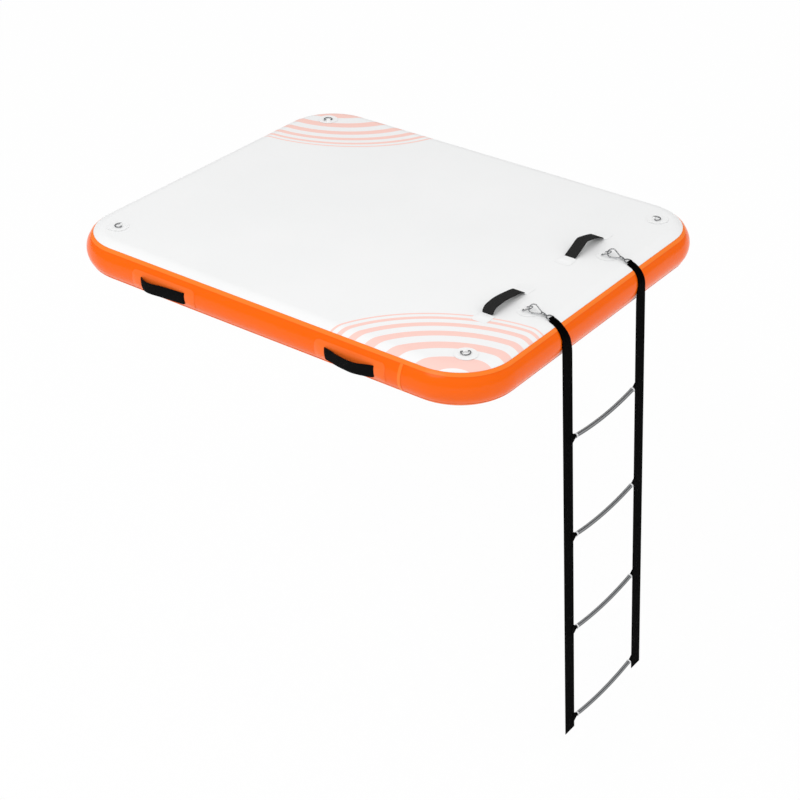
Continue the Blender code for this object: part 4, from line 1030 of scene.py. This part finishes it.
def top_strap_line():
    """Centre line (x, z): tail, round the eye's bar, over the rail to its outermost line."""
    loop_r = EYE_WIRE + GAP + STRAP / 2
    tail = [LAY_START + TAIL / LAY_R * share for share in (1, 0.85, 0.7, 0.55, 0.4)]
    points = [over_rail(angle, STRAP + GAP) for angle in tail]
    for step in range(LOOP_STEPS):
        angle = LOOP_START + LOOP_TURN * step / LOOP_STEPS
        points.append((EYE_X + loop_r * cos(angle), EYE_Z + loop_r * sin(angle)))
    step_turn = (pi / 2 - LAY_START) / LAY_STEPS
    return points + [over_rail(LAY_START + step_turn * step) for step in range(LAY_STEPS + 1)]


def strap_at(past_eye, side):
    """How far the band is spread (0 drawn in by the eye, 1 full), its middle Y and its width."""
    share = smooth_share((past_eye - FREE) / SPREAD)
    middle = side * (LADDER_Y + (HOOK_Y - LADDER_Y) * (1 - share))
    return share, middle, DRAWN_IN + (STRAP_WIDE - DRAWN_IN) * share


# %% Top straps
PLEATS, PLEAT_DEEP, PLEAT_LIFT = 3, 0.0007, 0.0004
strap_line = top_strap_line()
strap_long = path_length(strap_line)
for number, side in SIDES:
    bm = flat_band(strap_long, STRAP_WIDE, steps=70, across=18)
    for vert in bm.verts:
        x, z = path_spot(strap_line, vert.co.x)
        past_eye = vert.co.x - strap_long + ON_RAIL
        share, middle, width = strap_at(past_eye, side)
        width -= (DRAWN_IN - GATHERED) * (1 - smooth_share(past_eye / GATHERING + 0.5))
        across = vert.co.y / STRAP_WIDE
        pleat = PLEAT_LIFT + PLEAT_DEEP * cos(across * PLEATS * tau)
        out = Vector((x - FLAT_X, 0, z - MID)).normalized()
        spot = Vector((x, middle + across * width, z))
        vert.co = spot + out * pleat * (1 - share)
    node = f"top_strap_{number}"
    piece = add_piece(f"ladder_{node}", bm, strap_webbing, "pad", [node], smooth=50)
    thicken(piece, STRAP, 0, STRAP_RIM)
print("top strap", round(strap_long * 1000), "mm of webbing")

# %% [markdown]
# ## Hanging straps, rungs and their gussets
# A rung is a tube with lengthwise flutes, bowed a little by the weight that it has carried. Each end
# slides over a tongue of webbing that is folded to a triangle and sewn to the strap. A light collar
# closes the tube.

# %% Ladder sizes
STRAP_OUT = FLAT_X + RAIL + GAP + STRAP
FIRST_DROP, RUNG_PITCH, FOLD_BELOW, END_BELOW = 0.381, 0.403, 0.030, 0.045
RUNG_DROPS = [FIRST_DROP + RUNG_PITCH * k for k in range(4)]
FOLDS = [0] + [drop + FOLD_BELOW for drop in RUNG_DROPS[:-1]] + [RUNG_DROPS[-1] + END_BELOW]
RUNG_GAP, RUNG_R, RUNG_SAG = 0.017, 0.008, 0.014
INNER = LADDER_Y - STRAP_WIDE / 2
RUNG_HALF = INNER - RUNG_GAP
COLLAR_R, COLLAR_BORE, COLLAR_LONG = 0.0094, 0.0062, 0.006
HANG_TILT = radians(3.6)
HANG = Matrix.Translation((STRAP_OUT, 0, MID)) @ Matrix.Rotation(-HANG_TILT, 4, "Y")


def bow_drop(y):
    """How far the bowed rung hangs below its ends at this y."""
    return RUNG_SAG * (1 - (y / RUNG_HALF) ** 2)


# %% Straps
for section, (top, bottom) in enumerate(zip(FOLDS, FOLDS[1:]), 1):
    for number, side in SIDES:
        bm = flat_band(bottom - top, STRAP_WIDE, steps=40, across=8)
        for vert in bm.verts:
            _, middle, width = strap_at(ON_RAIL + top + vert.co.x, side)
            y = middle + vert.co.y * width / STRAP_WIDE
            vert.co = HANG @ Vector((-STRAP / 2, y, -top - vert.co.x))
        node = f"strap_{number}_{section}"
        body = f"ladder_{section}"
        strap = add_piece(f"hanging_{node}", bm, strap_webbing, body, [node], smooth=50)
        thicken(strap, STRAP, 0, STRAP_RIM)

# %% [markdown]
# The webbing is one band on the real ladder, so a folded joint may not open. A half-round core lies
# inside the two ends at each fold line, centred on the face that the band folds about. It turns with
# the lower length and fills the wedge that opens between the ends.

# %% Fold cores
CORE_R, CORE_STEPS, CORE_INSET, CORE_TURN = STRAP * 0.96, 16, 0.0012, radians(87)
INWARD_FOLD = 3


def core_outline(section, top):
    """The half round (x, z) of a core, centred on the face that this section folds about."""
    fold_x, out = (-STRAP, 1) if section == INWARD_FOLD else (0, -1)
    turns = [CORE_TURN * (2 * step / CORE_STEPS - 1) for step in range(CORE_STEPS + 1)]
    bow = [(fold_x + out * CORE_R * cos(a), -top + CORE_R * sin(a)) for a in turns]
    return [(fold_x, -top)] + bow


for section, top in enumerate(FOLDS[:-1], 1):
    for number, side in SIDES:
        _, middle, width = strap_at(ON_RAIL + top, side)
        half = (width - CORE_INSET) / 2
        bm = bmesh.new()
        rims = []
        for y in (middle - half, middle + half):
            rims.append([bm.verts.new((x, y, z)) for x, z in core_outline(section, top)])
        one, two = rims
        for k in range(len(one)):
            bm.faces.new((one[k - 1], one[k], two[k], two[k - 1]))
        bm.faces.new(one)
        bm.faces.new(two)
        band_uv(bm, "zy")
        move(bm, HANG)
        face_out(bm)
        name = f"webbing_fold_{number}_{section}"
        add_piece(name, bm, strap_webbing, f"ladder_{section}", smooth=50)
print("fold cores", 2 * len(RUNG_DROPS))

# %% Gussets
GUSSET_THICK, GUSSET_RIM = STRAP * 1.9, 0.0008
GUSSET_STOPS = [  # (y, width) from the strap's far side to inside the tube
    (INNER + 0.014, 0.044),
    (INNER, 0.037),
    (INNER - 0.006, 0.029),
    (RUNG_HALF + 0.0017, 0.0165),
    (RUNG_HALF - 0.018, 0.0102),
]
for section, drop in enumerate(RUNG_DROPS, 1):
    for number, side in SIDES:
        bm = bmesh.new()
        rims = []
        for half in (-0.5, 0.5):
            rim = [(y, half * wide - drop - bow_drop(min(y, RUNG_HALF))) for y, wide in GUSSET_STOPS]
            rims.append([bm.verts.new((-STRAP / 2, side * y, z)) for y, z in rim])
        low, high = rims
        for k in range(len(GUSSET_STOPS) - 1):
            bm.faces.new((low[k], low[k + 1], high[k + 1], high[k]))
        band_uv(bm, "yz")
        move(bm, HANG)
        face_out(bm)
        name = f"gusset_{number}_{section}"
        gusset = add_piece(name, bm, strap_webbing, f"ladder_{section}", smooth=50)
        thicken(gusset, GUSSET_THICK, 0, GUSSET_RIM)
print("gusset", round(GUSSET_THICK * 1000, 1), "mm thick")

# %% Rung shapes
FLUTES, FLUTE_DEEP, FLUTE_STEPS, RUNG_STATIONS = 6, 0.0010, 12, 48
TUBE_HALF = RUNG_HALF - COLLAR_LONG


def crown_share(x, y):
    """0 at the bottom of a flute, 1 on the crown between two, at this place round the tube."""
    return abs(sin(atan2(y, x) * FLUTES / 2))


def straight_rung():
    """A straight fluted tube along Y, with the attribute that its material reads."""
    bm = bmesh.new()
    bmesh.ops.create_circle(bm, segments=FLUTE_STEPS * FLUTES, radius=RUNG_R)
    for vert in bm.verts:
        vert.co *= 1 - FLUTE_DEEP / RUNG_R * (1 - crown_share(vert.co.x, vert.co.y)) ** 2
    bmesh.ops.rotate(bm, verts=bm.verts, matrix=Matrix.Rotation(pi / 2, 3, "X"))
    bmesh.ops.translate(bm, verts=bm.verts, vec=(0, -TUBE_HALF, 0))
    edges = bm.edges[:]
    for _ in range(RUNG_STATIONS):
        _, edges = extruded(bm, edges, (0, 2 * TUBE_HALF / RUNG_STATIONS, 0))
    # The attribute marks where the tube's material paints shade in the flutes and highlights on the
    # crowns.
    flute = bm.verts.layers.float.new("flute")
    for vert in bm.verts:
        vert[flute] = smooth_share(crown_share(vert.co.x, vert.co.z))
    return bm


def collar_outline():
    """Outline (x, radius) of a collar, closed round its bore."""
    a, r = -COLLAR_LONG / 2, COLLAR_R
    half = [(a, COLLAR_BORE), (a, r - 0.001), (a + 0.0005, r - 0.0003), (a + 0.0012, r)]
    return half + [(-x, radius) for x, radius in reversed(half)] + [half[0]]


# %% Rungs
for section, drop in enumerate(RUNG_DROPS, 1):
    body = f"ladder_{section}"
    bm = straight_rung()
    for vert in bm.verts:
        x, y, z = vert.co
        vert.co = HANG @ Vector((x - STRAP / 2, y, z - drop - bow_drop(y)))
    face_out(bm)
    node = f"rung_{section}"
    add_piece(f"fluted_{node}", bm, rung_skin, body, [node], smooth=60)
    for mark, end in (("a", -1), ("b", 1)):
        middle = end * (RUNG_HALF - COLLAR_LONG / 2)
        slope = atan(2 * RUNG_SAG * middle / RUNG_HALF**2)
        spot = HANG @ Matrix.Translation((-STRAP / 2, middle, -drop - bow_drop(middle)))
        spot = spot @ Matrix.Rotation(slope, 4, "X") @ Matrix.Rotation(pi / 2, 4, "Z")
        collar = turned(collar_outline(), 40, spot)
        add_piece(f"rung_collar_{section}{mark}", collar, collar_nylon, body, smooth=35)
print("rung flutes", FLUTES)

# %% [markdown]
# ## The CAD nodes that stay
# The valve's parts, the overlap strip and the hidden core keep their CAD shapes, which are right, and
# get the finishes above.

# %% Materials of the kept nodes
KEPT = {"valve_spring": steel, "drop_stitch_core": yarn, "wall_overlap_strip": tape_pvc}
KEPT.update({f"valve_{part}": valve_nylon for part in ("housing", "nut", "plunger", "cap")})
for node, material in KEPT.items():
    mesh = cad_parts[node].data
    mesh.materials.clear()
    mesh.materials.append(material)
shown = [n for n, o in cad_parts.items() if not o.hide_render]
print("CAD nodes shown", sorted(shown))

# %% [markdown]
# ## Studio
# The photograph has an even white ground, so the world is a soft white and one large lamp gives the
# highlight along the rail. The floor lies below the ladder's end, white to the camera but still able
# to hold a faint shadow. Seen from below it is clear.

# %% Floor
FLOOR_HALF, FLOOR_HEIGHT, FLOOR_GLOSS, FLOOR_GLOW = 40, -1.62, 0.52, 0.93
floor_bm = bmesh.new()
bmesh.ops.create_grid(floor_bm, x_segments=1, y_segments=1, size=FLOOR_HALF)
bmesh.ops.translate(floor_bm, verts=floor_bm.verts, vec=(0, 0, FLOOR_HEIGHT))
floor = new_object("studio_floor", mesh_from("studio_floor", floor_bm))
paper, tree, shader = new_material("studio_paper", Roughness=0.9)
shader.inputs["Base Color"].default_value = linear("#F4F4F4")
rays = add_node(tree, "LightPath").outputs
mirrored = math_node(tree, "MULTIPLY", rays["Is Glossy Ray"], FLOOR_GLOSS)
seen = math_node(tree, "MAXIMUM", rays["Is Camera Ray"], mirrored)
glow_share = math_node(tree, "MULTIPLY", seen, FLOOR_GLOW)
glow = add_node(tree, "Emission", {"Color": (1, 1, 1, 1), "Strength": 1.0}).outputs[0]
both = add_node(tree, "MixShader", {0: glow_share, 1: shader.outputs[0], 2: glow}).outputs[0]
back = add_node(tree, "NewGeometry").outputs["Backfacing"]
from_below = math_node(tree, "MULTIPLY", back, rays["Is Camera Ray"])
clear = add_node(tree, "BsdfTransparent").outputs[0]
surface = add_node(tree, "MixShader", {0: from_below, 1: both, 2: clear}).outputs[0]
tree.links.new(surface, tree.nodes["Material Output"].inputs["Surface"])
floor.data.materials.append(paper)

# %% World and lamp
SKY_LIGHT, SKY_GLOSS = 1.0, 0.15
LAMP_SPOT, LAMP_SIZE, LAMP_POWER = (-0.4, -4.6, 5.0), 3.0, 72
world = bpy.data.worlds.new("studio")
world.use_nodes = True
bpy.context.scene.world = world
tree = world.node_tree
rays = add_node(tree, "LightPath").outputs
sky = tree.nodes["Background"]
sky.inputs["Color"].default_value = (1, 1, 1, 1)
direct = math_node(tree, "MAXIMUM", rays["Is Camera Ray"], rays["Is Transmission Ray"])
dimmed = math_node(tree, "MULTIPLY", rays["Is Glossy Ray"], SKY_LIGHT - SKY_GLOSS)
level = math_node(tree, "MAXIMUM", direct, math_node(tree, "SUBTRACT", SKY_LIGHT, dimmed))
tree.links.new(level, sky.inputs["Strength"])
disk = {"shape": "DISK", "size": LAMP_SIZE, "energy": LAMP_POWER}
key = new_object("key", with_settings(bpy.data.lights.new("key", "AREA"), disk))
key.location = LAMP_SPOT
key.rotation_euler = (-Vector(LAMP_SPOT)).to_track_quat("-Z", "Y").to_euler()
print("lamp", LAMP_POWER, "W")
